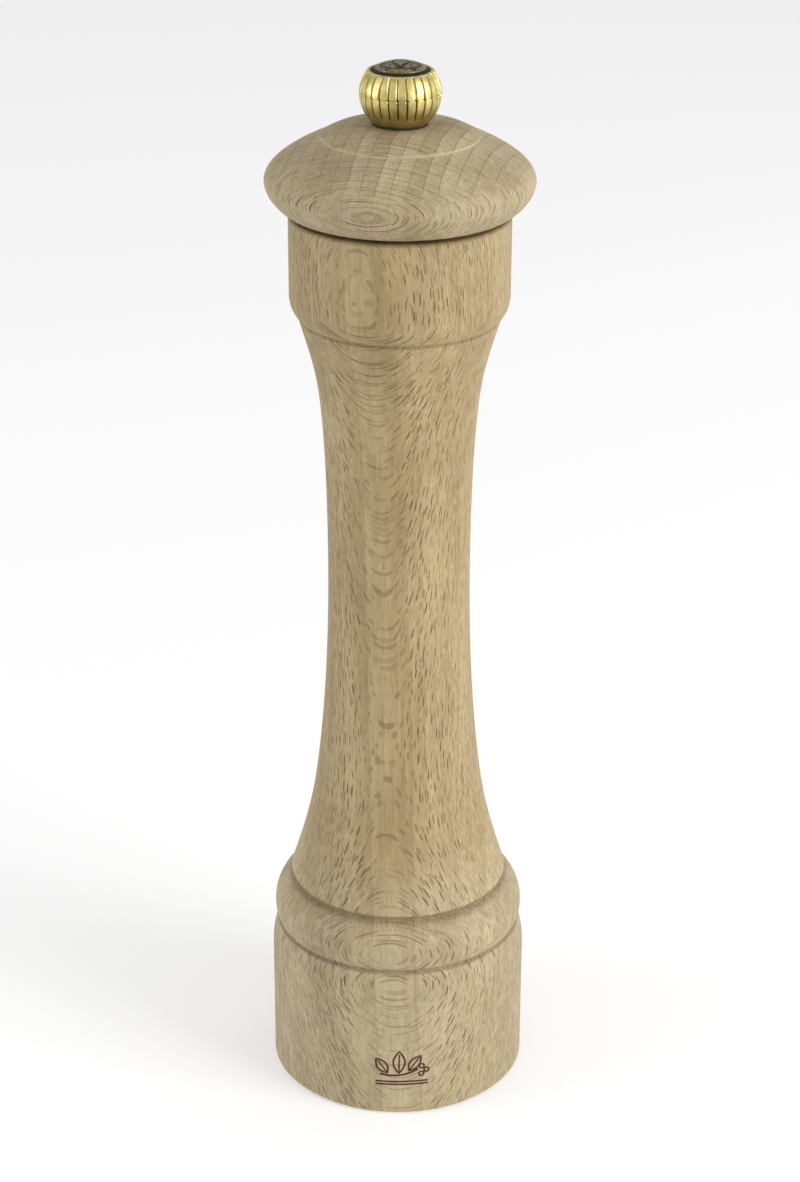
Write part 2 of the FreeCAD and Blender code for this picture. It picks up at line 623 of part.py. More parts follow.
# ---------------------------------------------------------------- write every piece
def main():
    body = drill_screw_holes(make_body())
    head = make_head().cut([drive_screw_shape(side * DRIVE_SCREW_X) for side in (-1, 1)])
    retaining_screws = [make_retaining_screw(x, y) for x, y in retaining_screw_places()]
    drive_screws = [make_drive_screw(side * DRIVE_SCREW_X) for side in (-1, 1)]
    seat_top = CONE_TOP_Z + SPRING_SEAT_THICKNESS
    washer_low = CONE_BOTTOM_Z - BURR_WASHER_THICKNESS
    washer_top = BOSS_TOP_Z + KNOB_WASHER_THICKNESS - WASHER_GAP
    write("body", body)
    write("burr_ring", make_burr_ring())
    write("bridge", make_bridge())
    write("bridge_rivets", Part.makeCompound([make_rivet(side * RIVET_X) for side in (-1, 1)]))
    write("shaft_bush", make_bush())
    write("retaining_plate", make_retaining_plate())
    write("retaining_screws", Part.makeCompound(retaining_screws))
    write(
        "thrust_washer",
        tube(
            BUSH_FLANGE_RADIUS,
            SHAFT_ROUND_RADIUS + RUNNING_CLEARANCE,
            THRUST_WASHER_Z,
            THRUST_WASHER_Z + THRUST_WASHER_THICKNESS - WASHER_GAP,
        ),
    )
    write("spring", tube(SPRING_RADIUS, SPRING_RADIUS - SPRING_WIRE, seat_top, THRUST_WASHER_Z))
    write("shaft", make_shaft())
    write("burr_cone", make_burr_cone())
    write("spring_seat", tube(SPRING_SEAT_RADIUS, SHAFT_ROUND_RADIUS, CONE_TOP_Z, seat_top))
    write("burr_washer", tube(BURR_WASHER_RADIUS, SHAFT_ROUND_RADIUS, washer_low, CONE_BOTTOM_Z))
    write("burr_nut", make_nut())
    write("head_cap", head)
    write("drive_plate", make_drive_plate())
    write("drive_plate_screws", Part.makeCompound(drive_screws))
    write(
        "knob_washer",
        tube(KNOB_WASHER_RADIUS, KNOB_WASHER_HOLE, BOSS_TOP_Z, washer_top),
    )
    write("knob_shell", make_knob_shell())
    write("knob_insert", make_knob_insert())
    write("knob_ring", make_knob_ring())
    write("knob_badge", make_knob_badge())


main()
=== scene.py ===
import bmesh
import bpy
import math
import numpy as np
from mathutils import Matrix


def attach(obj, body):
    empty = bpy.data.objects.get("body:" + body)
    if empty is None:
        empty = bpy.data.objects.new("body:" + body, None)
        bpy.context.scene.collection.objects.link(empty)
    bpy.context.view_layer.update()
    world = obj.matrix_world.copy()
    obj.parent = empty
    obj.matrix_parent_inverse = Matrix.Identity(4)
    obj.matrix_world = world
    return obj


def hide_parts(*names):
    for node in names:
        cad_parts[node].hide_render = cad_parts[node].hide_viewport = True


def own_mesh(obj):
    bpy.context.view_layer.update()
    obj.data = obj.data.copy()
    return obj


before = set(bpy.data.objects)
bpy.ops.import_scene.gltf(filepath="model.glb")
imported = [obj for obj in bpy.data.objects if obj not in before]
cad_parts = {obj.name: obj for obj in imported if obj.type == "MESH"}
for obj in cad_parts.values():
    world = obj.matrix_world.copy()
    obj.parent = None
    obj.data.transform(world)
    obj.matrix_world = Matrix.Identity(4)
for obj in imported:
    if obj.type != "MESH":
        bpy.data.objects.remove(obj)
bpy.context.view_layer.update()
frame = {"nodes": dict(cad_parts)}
nodes = frame["nodes"]

# ------------------------------------------------------------------ the view
# The mill stands on a white table and is looked at from the front and above, with a long lens. The
# camera is 0.57 m from the mill's middle, tilted down 24 degrees and rolled very slightly.
LOOK_FROM = (0.0, -0.5189, 0.3461)
LOOK_DOWN = 0.4262
LOOK_ROLL = 0.003
LENS = 84.02
SIDE_SHIFT = 0.00093

camera_data = bpy.data.cameras.new("camera")
camera_data.lens = LENS
camera_data.sensor_width = 36.0
camera_data.shift_x = SIDE_SHIFT
camera_data.clip_end = 50.0
camera = bpy.data.objects.new("camera", camera_data)
bpy.context.scene.collection.objects.link(camera)
camera.rotation_mode = "XYZ"
camera.location = LOOK_FROM
camera.rotation_euler = (math.pi / 2 - LOOK_DOWN, 0, 0)
camera.rotation_euler.rotate_axis("Z", LOOK_ROLL)
bpy.context.scene.camera = camera
bpy.context.scene.view_settings.view_transform = "Standard"

# ------------------------------------------------------------------ turned body
# One length of pale, unvarnished beech: base, bead, waisted neck and collar are turned from the same
# piece. It is bored through for the peppercorns, and counterbored at the foot for the mechanism.
MM = 0.001
TURNS = 288
BASE_RADIUS = 27.15
SHOULDER_START, SHOULDER_ARC = 27.5, 18.5
GROOVE_Z, GROOVE_DEPTH, GROOVE_WIDTH = 34.5, 0.38, 1.1
BEAD_CENTRE, BEAD_ARC, BEAD_TOP = (18.2, 37.9), 8.3, 45.1
FLARE_LIP = (22.9, 46.2)
NECK = [
    (20.85, 52.8), (18.60, 61.6), (16.62, 74.8), (15.20, 92.4), (14.57, 115.0),
    (14.82, 134.0), (15.66, 149.6), (16.82, 158.4),
]
NECK_TOP = (19.55, 168.6)
COLLAR_CREASE = (20.35, 170.9)
COLLAR_RADIUS = 21.86
COLLAR_ROUND_TOP, COLLAR_TOP = 174.8, 191.5
COLLAR_ROUND_IN, COLLAR_ROUND_DROP = 0.40, 1.95
COLLAR_MIDDLE, COLLAR_EDGE = 183, 0.25
LEDGE = [(19.85, 169.6), (19.97, 170.3), (19.98, 170.8)]
FOOT_EDGE = 0.5
SOCKET_RADIUS, SOCKET_FLOOR = 14.5, 181.0
CHAMBER_RADIUS = 11.0
RECESS_RADIUS, RECESS_TOP = 18.5, 31.0
FLANGE_SEAT_RADIUS, FLANGE_SEAT_TOP = 19.5, 9.0
PLATE_SEAT_RADIUS, PLATE_SEAT_TOP = 23.8, 2.0


def arc(centre, radius, low, high, steps):
    """Points of a profile arc about the centre, between two heights, on its outer side."""
    a = math.asin(max(-1, min(1, (low - centre[1]) / radius)))
    b = math.asin(max(-1, min(1, (high - centre[1]) / radius)))
    return [
        (centre[0] + radius * math.cos(t), centre[1] + radius * math.sin(t))
        for t in np.linspace(a, b, steps)
    ]


def through(points, steps):
    """Points of a smooth curve through the given ones: a natural cubic spline over their distance."""
    knots = np.array(points, float)
    t = np.concatenate([[0], np.cumsum(np.linalg.norm(np.diff(knots, axis=0), axis=1))])
    gap = np.diff(t)
    count = len(t)
    system = np.eye(count)
    target = np.zeros((count, 2))
    for i in range(1, count - 1):
        system[i, i - 1 : i + 2] = gap[i - 1], 2 * (gap[i - 1] + gap[i]), gap[i]
        rise = (knots[i + 1] - knots[i]) / gap[i] - (knots[i] - knots[i - 1]) / gap[i - 1]
        target[i] = 6 * rise
    bend = np.linalg.solve(system, target)
    found = []
    for s in np.linspace(0, t[-1], steps):
        i = min(int(np.searchsorted(t, s, side="right")) - 1, count - 2)
        a, b = (t[i + 1] - s) / gap[i], (s - t[i]) / gap[i]
        point = a * knots[i] + b * knots[i + 1]
        point = point + ((a**3 - a) * bend[i] + (b**3 - b) * bend[i + 1]) * gap[i] ** 2 / 6
        found.append(tuple(point))
    return found


def eased(points, radius, steps=3):
    """The same profile with each sharp corner cut to a small round; points on the axis stay."""
    result = []
    count = len(points)
    for i, point in enumerate(points):
        here = np.array(point, float)
        before = np.array(points[i - 1], float)
        after = np.array(points[(i + 1) % count], float)
        into, out = here - before, after - here
        la, lb = np.linalg.norm(into), np.linalg.norm(out)
        if la < 1e-9 or lb < 1e-9:
            continue
        turn = math.acos(max(-1, min(1, float(into @ out) / (la * lb))))
        if turn < math.radians(25) or here[0] < 1e-6:
            result.append(tuple(here))
            continue
        back = min(radius * math.tan(turn / 2), la * 0.45, lb * 0.45)
        start, end = here - into / la * back, here + out / lb * back
        for s in np.linspace(0, 1, steps + 1):
            result.append(tuple((1 - s) ** 2 * start + 2 * s * (1 - s) * here + s**2 * end))
    return result


def turned(name, profile, turns=TURNS):
    """A mesh turned about Z from (radius, height) points in millimetres; radius 0 makes a closed pole."""
    rings, points = [], []
    for radius, z in profile:
        if radius < 1e-6:
            rings.append([len(points)])
            points.append((0.0, 0.0, z * MM))
            continue
        first = len(points)
        for i in range(turns):
            angle = 2 * math.pi * i / turns
            points.append((radius * math.cos(angle) * MM, radius * math.sin(angle) * MM, z * MM))
        rings.append(list(range(first, first + turns)))
    pairs = list(zip(rings, rings[1:]))
    if len(rings[0]) > 1 and len(rings[-1]) > 1:
        pairs.append((rings[-1], rings[0]))
    faces = []
    for low, high in pairs:
        for i in range(turns):
            j = (i + 1) % turns
            corners = [low[i % len(low)], low[j % len(low)], high[j % len(high)], high[i % len(high)]]
            faces.append(list(dict.fromkeys(corners)))
    mesh = bpy.data.meshes.new(name)
    mesh.from_pydata(points, [], [f for f in faces if len(f) > 2])
    work = bmesh.new()
    work.from_mesh(mesh)
    bmesh.ops.recalc_face_normals(work, faces=work.faces)
    work.to_mesh(mesh)
    work.free()
    mesh.shade_smooth()
    mesh.set_sharp_from_angle(angle=math.radians(40))
    piece = bpy.data.objects.new(name, mesh)
    bpy.context.scene.collection.objects.link(piece)
    return piece


class Signal:
    """A number coming out of a node, on which Python sums add Math nodes."""

    def __init__(self, nodes, socket):
        self.nodes = nodes
        self.socket = socket

    def maths(self, operation, a, b=0.0):
        return self.nodes.add("ShaderNodeMath", {"operation": operation}, {0: a, 1: b})

    def __add__(self, other):
        return self.maths("ADD", self, other)

    def __sub__(self, other):
        return self.maths("SUBTRACT", self, other)

    def __mul__(self, other):
        return self.maths("MULTIPLY", self, other)

    def __truediv__(self, other):
        return self.maths("DIVIDE", self, other)

    def __rsub__(self, other):
        return self.maths("SUBTRACT", other, self)

    __radd__ = __add__


class Nodes:
    """The nodes of one material or geometry tree."""

    def __init__(self, tree):
        self.tree = tree

    def add(self, kind, settings=None, sockets=None, output=0):
        node = self.tree.nodes.new(kind)
        for key, value in (settings or {}).items():
            setattr(node, key, value)
        for key, value in (sockets or {}).items():
            if isinstance(value, Signal):
                self.tree.links.new(value.socket, node.inputs[key])
            else:
                node.inputs[key].default_value = value
        return Signal(self, node.outputs[output])

    def band(self, value, low, high):
        """Smoothly 0 at low and 1 at high; low may be the larger."""
        return self.add(
            "ShaderNodeMapRange",
            {"interpolation_type": "SMOOTHSTEP"},
            {"Value": value, "From Min": low, "From Max": high, "To Min": 0.0, "To Max": 1.0},
        )

    def blend(self, share, a, b, how="MIX"):
        """Two colours mixed, or multiplied, by a share."""
        return self.add(
            "ShaderNodeMix",
            {"data_type": "RGBA", "blend_type": how, "clamp_factor": True},
            {0: share, 6: a, 7: b},
            output=2,
        )

    def part(self, vector, axis):
        return self.add("ShaderNodeSeparateXYZ", {}, {0: vector}, output=axis)


class Finish(Nodes):
    """A material under construction."""

    def __init__(self, name):
        self.material = bpy.data.materials.new(name)
        self.material.use_nodes = True
        self.material.node_tree.nodes.clear()
        super().__init__(self.material.node_tree)
        self.place = self.add("ShaderNodeTexCoord", output="Object")

    def grain(self, size, offset=(0, 0, 0), detail=2.0, source=None, rough=0.5, output=0):
        """Noise whose lumps are about the given size in millimetres along X, Y and Z."""
        sizes = (size, size, size) if isinstance(size, (int, float)) else size
        scale = tuple(1.0 / (v * MM) for v in sizes)
        mapped = self.add(
            "ShaderNodeMapping", {}, {"Vector": source or self.place, "Location": offset, "Scale": scale}
        )
        return self.add(
            "ShaderNodeTexNoise",
            {},
            {"Vector": mapped, "Scale": 1.0, "Detail": detail, "Roughness": rough},
            output=output,
        )

    def done(self, colour, roughness, metallic=0.0, bump=None, depth=0.0, specular=0.5, glow=0.0):
        surface = self.tree.nodes.new("ShaderNodeBsdfPrincipled")
        surface.inputs["Specular IOR Level"].default_value = specular
        surface.inputs["Emission Strength"].default_value = glow
        surface.inputs["Emission Color"].default_value = (1, 1, 1, 1)
        settings = {"Base Color": colour, "Roughness": roughness, "Metallic": metallic}
        if bump is not None:
            settings["Normal"] = self.add(
                "ShaderNodeBump", {}, {"Strength": 1.0, "Distance": depth, "Height": bump}
            )
        for key, value in settings.items():
            if isinstance(value, Signal):
                self.tree.links.new(value.socket, surface.inputs[key])
            else:
                surface.inputs[key].default_value = value
        end = self.tree.nodes.new("ShaderNodeOutputMaterial")
        self.tree.links.new(surface.outputs[0], end.inputs[0])
        return self.material


RING_SPACING = 2.9
BEECH_PALE = (0.480, 0.400, 0.243, 1)
BEECH_DEEP = (0.305, 0.241, 0.126, 1)
BEECH_RAY = (0.098, 0.050, 0.014, 1)
BEECH_RAY_FLAT = (0.190, 0.125, 0.052, 1)
BEECH_RAY_SOFT = (0.170, 0.108, 0.040, 1)
BEECH_FLECK = (0.560, 0.468, 0.310, 1)
BEECH_LATE = (0.185, 0.138, 0.072, 1)
BEECH_PORE = (0.235, 0.172, 0.086, 1)
# Painted shade: the body above its foot is multiplied by this, darker and warmer.
BEECH_UPPER_SHADE = (0.92, 0.86, 0.72, 1)
# Painted shade: the turned hollows are multiplied by this.
BEECH_COVE_SHADE = (0.58, 0.52, 0.44, 1)
# Heights in metres: where the figure changes, where the painted shade above the foot fades in, and where the
# head's scribed line lies.
FOOT_TOP, COLLAR_FOOT = 0.032, 0.172
UPPER_SHADE_LOW, UPPER_SHADE_HIGH = 0.040, 0.062
SCRIBE_LOW, SCRIBE_HIGH = 0.2060, 0.2062


def beech(name, turn, twist, offset, lean=0.0, foot_lean=0.0, curl=0.0, scribed=0.0, coves=()):
    """Beech as a solid block: growth rings across X, and thin rays that lie in planes across Y.

    turn and twist (radians, radians per metre of height) say how the block's radial direction
    lies about the turning axis; offset shifts the block, so that two pieces don't match. The ray
    planes lean with the height, more so in the foot, and curl over in the collar. A block that leans
    is also painted a little darker and warmer above its foot: painted shade, for the lighter foot
    that the white floor lights from below. scribed is the radius of a fine turned line, where a paler
    ring is painted: partly the broken end grain's own paler colour, partly a painted highlight on the
    boss's edge. coves are (height, half width, strength) of the turned hollows, where the wood is
    darkened as painted shade.
    """
    wood = Finish(name)
    normal = wood.add("ShaderNodeTexCoord", output="Normal")
    height = wood.part(wood.place, 2)
    block = wood.add(
        "ShaderNodeVectorRotate",
        {"rotation_type": "Z_AXIS"},
        {"Vector": wood.place, "Angle": turn + height * twist},
    )
    foot = wood.add("ShaderNodeMath", {"operation": "MINIMUM"}, {0: height, 1: FOOT_TOP})
    upper = wood.add("ShaderNodeMath", {"operation": "MAXIMUM"}, {0: height - COLLAR_FOOT, 1: 0.0})
    slide = upper * upper * curl - height * lean - foot * foot_lean
    slide = wood.add("ShaderNodeCombineXYZ", {}, {0: 0.0, 1: slide, 2: 0.0})
    block = wood.add("ShaderNodeVectorMath", {"operation": "ADD"}, {0: block, 1: slide})

    def swayed(size, amount):
        drift = wood.grain(size, offset, detail=2.0, source=block, output=1)
        drift = wood.add("ShaderNodeVectorMath", {"operation": "SUBTRACT"}, {0: drift, 1: (0.5, 0.5, 0.5)})
        drift = wood.add("ShaderNodeVectorMath", {"operation": "MULTIPLY"}, {0: drift, 1: amount})
        return wood.add("ShaderNodeVectorMath", {"operation": "ADD"}, {0: block, 1: drift})

    block = swayed((30, 30, 60), (0.0016, 0.0012, 0.0))
    block = swayed((5.0, 5.0, 12), (0.0002, 0.00026, 0.0))
    end_grain = wood.add("ShaderNodeMath", {"operation": "ABSOLUTE"}, {0: wood.part(normal, 2)})
    cut_across = wood.band(end_grain, 0.62, 0.95)
    end_grain = wood.band(end_grain, 0.35, 0.85)
    facing = wood.add(
        "ShaderNodeVectorRotate",
        {"rotation_type": "Z_AXIS"},
        {"Vector": normal, "Angle": turn + height * twist},
    )
    facing = wood.add("ShaderNodeMath", {"operation": "ABSOLUTE"}, {0: wood.part(facing, 1)})
    along_rays = wood.band(facing, 0.90, 0.995)

    def rays(cell, seed, thin, low, high):
        """Flat lenses, thin across Y, a few millimetres tall and long across X: 1 inside a ray."""
        scale = tuple(1.0 / (v * MM) for v in cell)
        mapped = wood.add("ShaderNodeMapping", {}, {"Vector": block, "Location": seed, "Scale": scale})
        cells = wood.tree.nodes.new("ShaderNodeTexVoronoi")
        cells.inputs["Scale"].default_value = 1.0
        cells.inputs["Randomness"].default_value = 0.85
        wood.tree.links.new(mapped.socket, cells.inputs["Vector"])
        centre = Signal(wood, cells.outputs["Position"])
        away = wood.add("ShaderNodeVectorMath", {"operation": "SUBTRACT"}, {0: mapped, 1: centre})
        away = wood.add("ShaderNodeVectorMath", {"operation": "MULTIPLY"}, {0: away, 1: (1.0, thin, 1.0)})
        near = wood.add("ShaderNodeVectorMath", {"operation": "LENGTH"}, {0: away}, output="Value")
        luck = wood.part(Signal(wood, cells.outputs["Color"]), 0)
        fate = wood.part(Signal(wood, cells.outputs["Color"]), 1)
        size = luck * (high - low) + low
        return wood.band(near, size, size - 0.12) * (fate * 0.55 + 0.45)

    bold = rays((20.0, 0.55, 2.9), offset, 3.3, 0.36, 0.54)
    fine = rays((16.0, 0.38, 2.1), (offset[0] + 7.3, offset[1] + 1.7, offset[2] + 4.1), 2.6, 0.36, 0.54)
    fine = fine * (1 - along_rays * 0.35)
    pale = rays((16.0, 0.50, 3.6), (offset[0] + 2.9, offset[1] + 5.3, offset[2] + 0.6), 1.6, 0.20, 0.50)

    # Growth rings: a slow darkening towards each ring's end and a thin late-wood line.
    across = wood.part(block, 0) * (1.0 / (RING_SPACING * MM)) + offset[0]
    waver = wood.grain((14, 14, 90), offset, detail=1.0, source=block)
    across = across + waver * 0.35
    year = wood.add("ShaderNodeMath", {"operation": "FRACT"}, {0: across})
    season = wood.add("ShaderNodeMath", {"operation": "FLOOR"}, {0: across})
    season = wood.add("ShaderNodeTexWhiteNoise", {"noise_dimensions": "1D"}, {"W": season})
    late = wood.band(year, 0.86, 0.97) * wood.band(year, 1.0, 0.98)
    slope = wood.band(year, 0.10, 0.95)

    streak = wood.grain((0.9, 0.9, 34), offset, detail=3.0, source=block, rough=0.6)
    fibre = wood.grain((0.16, 0.16, 3.2), offset, detail=2.0, source=block, rough=0.6)
    cloud = wood.grain((9, 9, 30), offset, detail=2.0, source=block)
    pores = wood.grain((0.26, 0.26, 5.0), offset, detail=1.0, source=block)

    by_year = (season - 0.5) * (cut_across * 0.13 + 0.10)
    mottle = wood.grain((0.5, 0.5, 1.1), offset, detail=2.0, source=block, rough=0.65)
    tone = wood.band(streak * 0.44 + cloud * 0.40 + mottle * 0.16 + by_year, 0.30, 0.72)
    colour = wood.blend(tone, BEECH_DEEP, BEECH_PALE)
    colour = wood.blend(wood.band(fibre, 0.45, 0.80) * 0.30, colour, BEECH_DEEP)
    colour = wood.blend(slope * (cut_across * 0.30 + 0.10), colour, BEECH_DEEP)
    colour = wood.blend(late * (cut_across * 0.55 + 0.12), colour, BEECH_LATE)
    colour = wood.blend(wood.band(pores, 0.52, 0.70) * (end_grain * 0.36 + 0.36), colour, BEECH_PORE)
    colour = wood.blend(pale * (1 - along_rays) * 0.35, colour, BEECH_FLECK)
    colour = wood.blend(fine * (0.85 - end_grain * 0.30), colour, BEECH_RAY_SOFT)
    ray_colour = wood.blend(along_rays, BEECH_RAY, BEECH_RAY_FLAT)
    colour = wood.blend(bold * (0.95 - end_grain * 0.40 - along_rays * 0.42), colour, ray_colour)
    # Painted shade: above its foot the body is made darker and warmer, for the lighter foot that the white
    # floor lights from below.
    if lean > 0:
        upper_shade = wood.blend(1.0, colour, BEECH_UPPER_SHADE, "MULTIPLY")
        colour = wood.blend(wood.band(height, UPPER_SHADE_LOW, UPPER_SHADE_HIGH), colour, upper_shade)
    # Painted shade: a darker band of wood at each turned hollow and crease, and under the head.
    for cove, half_width, strength in coves:
        off_cove = wood.add("ShaderNodeMath", {"operation": "ABSOLUTE"}, {0: height - cove * MM})
        cove_shade = wood.band(off_cove, half_width * MM, half_width * 0.15 * MM) * strength
        colour = wood.blend(cove_shade, colour, wood.blend(1.0, colour, BEECH_COVE_SHADE, "MULTIPLY"))
    # A paler ring at the boss's foot: partly the broken end grain's own paler colour, partly a painted
    # highlight on the boss's edge.
    if scribed > 0:
        x, y = wood.part(wood.place, 0), wood.part(wood.place, 1)
        radius = wood.add("ShaderNodeMath", {"operation": "SQRT"}, {0: x * x + y * y})
        off_line = wood.add("ShaderNodeMath", {"operation": "ABSOLUTE"}, {0: radius - scribed * MM})
        broken_grain_and_highlight = wood.band(off_line, 0.42 * MM, 0.08 * MM) * wood.band(height, SCRIBE_LOW, SCRIBE_HIGH)
        colour = wood.blend(broken_grain_and_highlight * (fibre * 0.8 + 0.05), colour, BEECH_FLECK)
    relief = fibre * 0.35 - bold * 0.8 - fine * 0.3 - late * cut_across * 0.5
    rough = 0.56 + fibre * 0.10 + bold * 0.08
    return wood.done(colour, rough, bump=relief, depth=0.00005, specular=0.5)


# Painted shade in the turned hollows and under the head: (height, half width, strength) of each darkened
# band.
COVE_SHADE_BANDS = [(34.5, 1.0, 0.8), (45.2, 1.4, 0.7), (170.5, 0.7, 0.7), (191.3, 0.6, 0.8)]
body_wood = beech(
    "beech_body", -0.02, 2.05, (3.1, 0.4, 1.7), lean=0.10, foot_lean=0.14, curl=6.0, coves=COVE_SHADE_BANDS
)

bead = arc(BEAD_CENTRE, BEAD_ARC, GROOVE_Z + GROOVE_WIDTH / 2, BEAD_TOP, 28)
base_arc_centre = (BASE_RADIUS - SHOULDER_ARC, SHOULDER_START)
shoulder = arc(base_arc_centre, SHOULDER_ARC, SHOULDER_START, GROOVE_Z - GROOVE_WIDTH / 2, 10)
groove_radius = min(shoulder[-1][0], bead[0][0]) - GROOVE_DEPTH
groove = [(groove_radius, GROOVE_Z - GROOVE_WIDTH / 5), (groove_radius, GROOVE_Z + GROOVE_WIDTH / 3)]
neck = through([FLARE_LIP] + NECK + [NECK_TOP], 90)
collar_middle = (COLLAR_RADIUS - COLLAR_ROUND_IN, COLLAR_ROUND_TOP - COLLAR_ROUND_DROP)
collar_round = through([COLLAR_CREASE, collar_middle, (COLLAR_RADIUS, COLLAR_ROUND_TOP)], 9)
outline = [(BASE_RADIUS - FOOT_EDGE, 0.0), (BASE_RADIUS, FOOT_EDGE)]
outline += [(BASE_RADIUS, z) for z in (7, 14, 21)]
outline += shoulder + groove + bead + neck + LEDGE + collar_round
outline += [
    (COLLAR_RADIUS, COLLAR_MIDDLE),
    (COLLAR_RADIUS, COLLAR_TOP - COLLAR_EDGE),
    (COLLAR_RADIUS - COLLAR_EDGE, COLLAR_TOP),
    (SOCKET_RADIUS, COLLAR_TOP),
    (SOCKET_RADIUS, SOCKET_FLOOR),
    (CHAMBER_RADIUS, SOCKET_FLOOR),
    (CHAMBER_RADIUS, RECESS_TOP),
    (RECESS_RADIUS, RECESS_TOP),
    (RECESS_RADIUS, FLANGE_SEAT_TOP),
    (FLANGE_SEAT_RADIUS, FLANGE_SEAT_TOP),
    (FLANGE_SEAT_RADIUS, PLATE_SEAT_TOP),
    (PLATE_SEAT_RADIUS, PLATE_SEAT_TOP),
    (PLATE_SEAT_RADIUS, 0.0),
]
body = turned("turned_body", eased(outline, 0.2))
body.data.materials.append(body_wood)
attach(body, "mill_body")
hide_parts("body")

# ------------------------------------------------------------------ burnt mark
# A small mark burnt into the front of the base: a sprig of pepper over two fine lines. It is made
# of narrow strips in the colour of charred wood, which stand just proud of the surface.
MARK_CENTRE = (0.9, 12.3)
MARK_LINE = 0.38
MARK_PROUD = 0.03


def stroke(points, width, place, lift, closed=False):
    """Corner points and faces of a thin closed strip along 2-D points, laid on a surface by place."""
    line = np.array(points, float)
    ahead = np.roll(line, -1, axis=0) if closed else np.vstack([line[1:], line[-1:]])
    behind = np.roll(line, 1, axis=0) if closed else np.vstack([line[:1], line[:-1]])
    along = ahead - behind
    along /= np.linalg.norm(along, axis=1)[:, None]
    side = np.stack([-along[:, 1], along[:, 0]], axis=1) * width / 2
    corners = []
    for edge, rise in ((side, -lift), (side, lift), (-side, lift), (-side, -lift)):
        corners.append([place(u, v, rise) for u, v in line + edge])
    count = len(line)
    points3 = [corners[k][i] for i in range(count) for k in range(4)]
    faces = []
    for i in range(count if closed else count - 1):
        j = (i + 1) % count
        for k in range(4):
            m = (k + 1) % 4
            faces.append((4 * i + k, 4 * j + k, 4 * j + m, 4 * i + m))
    if not closed:
        faces.append((0, 1, 2, 3))
        last = 4 * (count - 1)
        faces.append((last + 3, last + 2, last + 1, last))
    return points3, faces


def drawn(name, strokes, place, lift, finish):
    """One mesh from several strokes: (points, width, closed) each."""
    points, faces = [], []
    for line, width, closed in strokes:
        more, quads = stroke(line, width, place, lift, closed)
        faces += [tuple(i + len(points) for i in quad) for quad in quads]
        points += more
    mesh = bpy.data.meshes.new(name)
    mesh.from_pydata(points, [], faces)
    work = bmesh.new()
    work.from_mesh(mesh)
    bmesh.ops.recalc_face_normals(work, faces=work.faces)
    work.to_mesh(mesh)
    work.free()
    piece = bpy.data.objects.new(name, mesh)
    bpy.context.scene.collection.objects.link(piece)
    mesh.materials.append(finish)
    return piece


def circle(u, v, radius, steps=20):
    turns = np.linspace(0, 2 * math.pi, steps, endpoint=False)
    return [(u + radius * math.cos(a), v + radius * math.sin(a)) for a in turns]


def leaf(u, v, length, width, lean, steps=12):
    """A pointed leaf outline that starts at (u, v) and leans by an angle from straight up."""
    out = []
    for side in (1, -1):
        for s in np.linspace(0, 1, steps, endpoint=False):
            t = s if side > 0 else 1 - s
            x = side * width / 2 * math.sin(math.pi * t) ** 0.9
            y = length * t
            across = u + x * math.cos(lean) + y * math.sin(lean)
            up = v - x * math.sin(lean) + y * math.cos(lean)
            out.append((across, up))
    return out


def vein(u, v, length, lean, start=0.0):
    return [(u + length * s * math.sin(lean), v + length * s * math.cos(lean)) for s in (start, 0.5, 0.86)]


def bow(start, end, sag, steps=12):
    """A shallow bow from start to end."""
    a, b = np.array(start, float), np.array(end, float)
    side = np.array([-(b - a)[1], (b - a)[0]])
    return [tuple(a + (b - a) * s + side * sag * 4 * s * (1 - s)) for s in np.linspace(0, 1, steps)]


def on_base(u, v, rise):
    """Places mark coordinates, in millimetres, on the front of the base."""
    radius = BASE_RADIUS + rise + MARK_PROUD / 2
    angle = (MARK_CENTRE[0] + u) / BASE_RADIUS
    return (radius * math.sin(angle) * MM, -radius * math.cos(angle) * MM, (MARK_CENTRE[1] + v) * MM)


char = Finish("burnt_brown")
scorch = char.grain(0.5, detail=3.0)
char_colour = char.blend(char.band(scorch, 0.35, 0.70), (0.040, 0.016, 0.008, 1), (0.100, 0.045, 0.020, 1))
char_brown = char.done(char_colour, 0.8, bump=scorch, depth=0.00002, specular=0.2)

sprig = [
    (bow((-4.6, -2.3), (3.5, -1.2), -0.10, 16), MARK_LINE * 1.2, False),
    (leaf(-3.0, -2.0, 4.2, 2.2, -0.62), MARK_LINE, True),
    (vein(-3.0, -2.0, 4.2, -0.62), MARK_LINE * 0.8, False),
    (leaf(-0.6, -2.1, 5.4, 2.5, 0.02), MARK_LINE, True),
    (vein(-0.6, -2.1, 5.4, 0.02), MARK_LINE * 0.8, False),
    (leaf(1.5, -1.5, 4.4, 2.1, 0.62), MARK_LINE, True),
    (vein(1.5, -1.5, 4.4, 0.62), MARK_LINE * 0.8, False),
]
sprig += [(circle(x, z, 0.52), MARK_LINE, True) for x, z in ((4.3, -0.5), (5.3, -1.5), (4.2, -2.4))]
sprig += [(bow((-5.6, v), (5.6, v), 0.0, 10), MARK_LINE, False) for v in (-4.2, -4.9)]
mark = drawn("burnt_mark", sprig, on_base, MARK_PROUD, char_brown)
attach(mark, "mill_body")

# ------------------------------------------------------------------ mushroom head
# A second piece of beech, turned with its end grain on top: a raised boss for the knob, a rounded
# rim that overhangs the collar, and a spigot below that turns in the collar's socket.
HEAD_UNDERSIDE = (21.9, 192.3)
HEAD_RIM = [
    (22.45, 192.5), (24.0, 193.6), (25.72, 195.75), (26.40, 198.3),
    (25.65, 200.2), (23.36, 202.4), (19.85, 204.6),
]
BOSS_RADIUS, BOSS_FOOT, BOSS_STEP = 15.7, 206.55, 0.35
BOSS_MIDDLE, BOSS_FLAT, BOSS_TOP = (12.9, 208.05), 8.6, 209.0
SPIGOT_RADIUS, SPIGOT_END = 14.2, 181.02
HEAD_BORE = 3.9

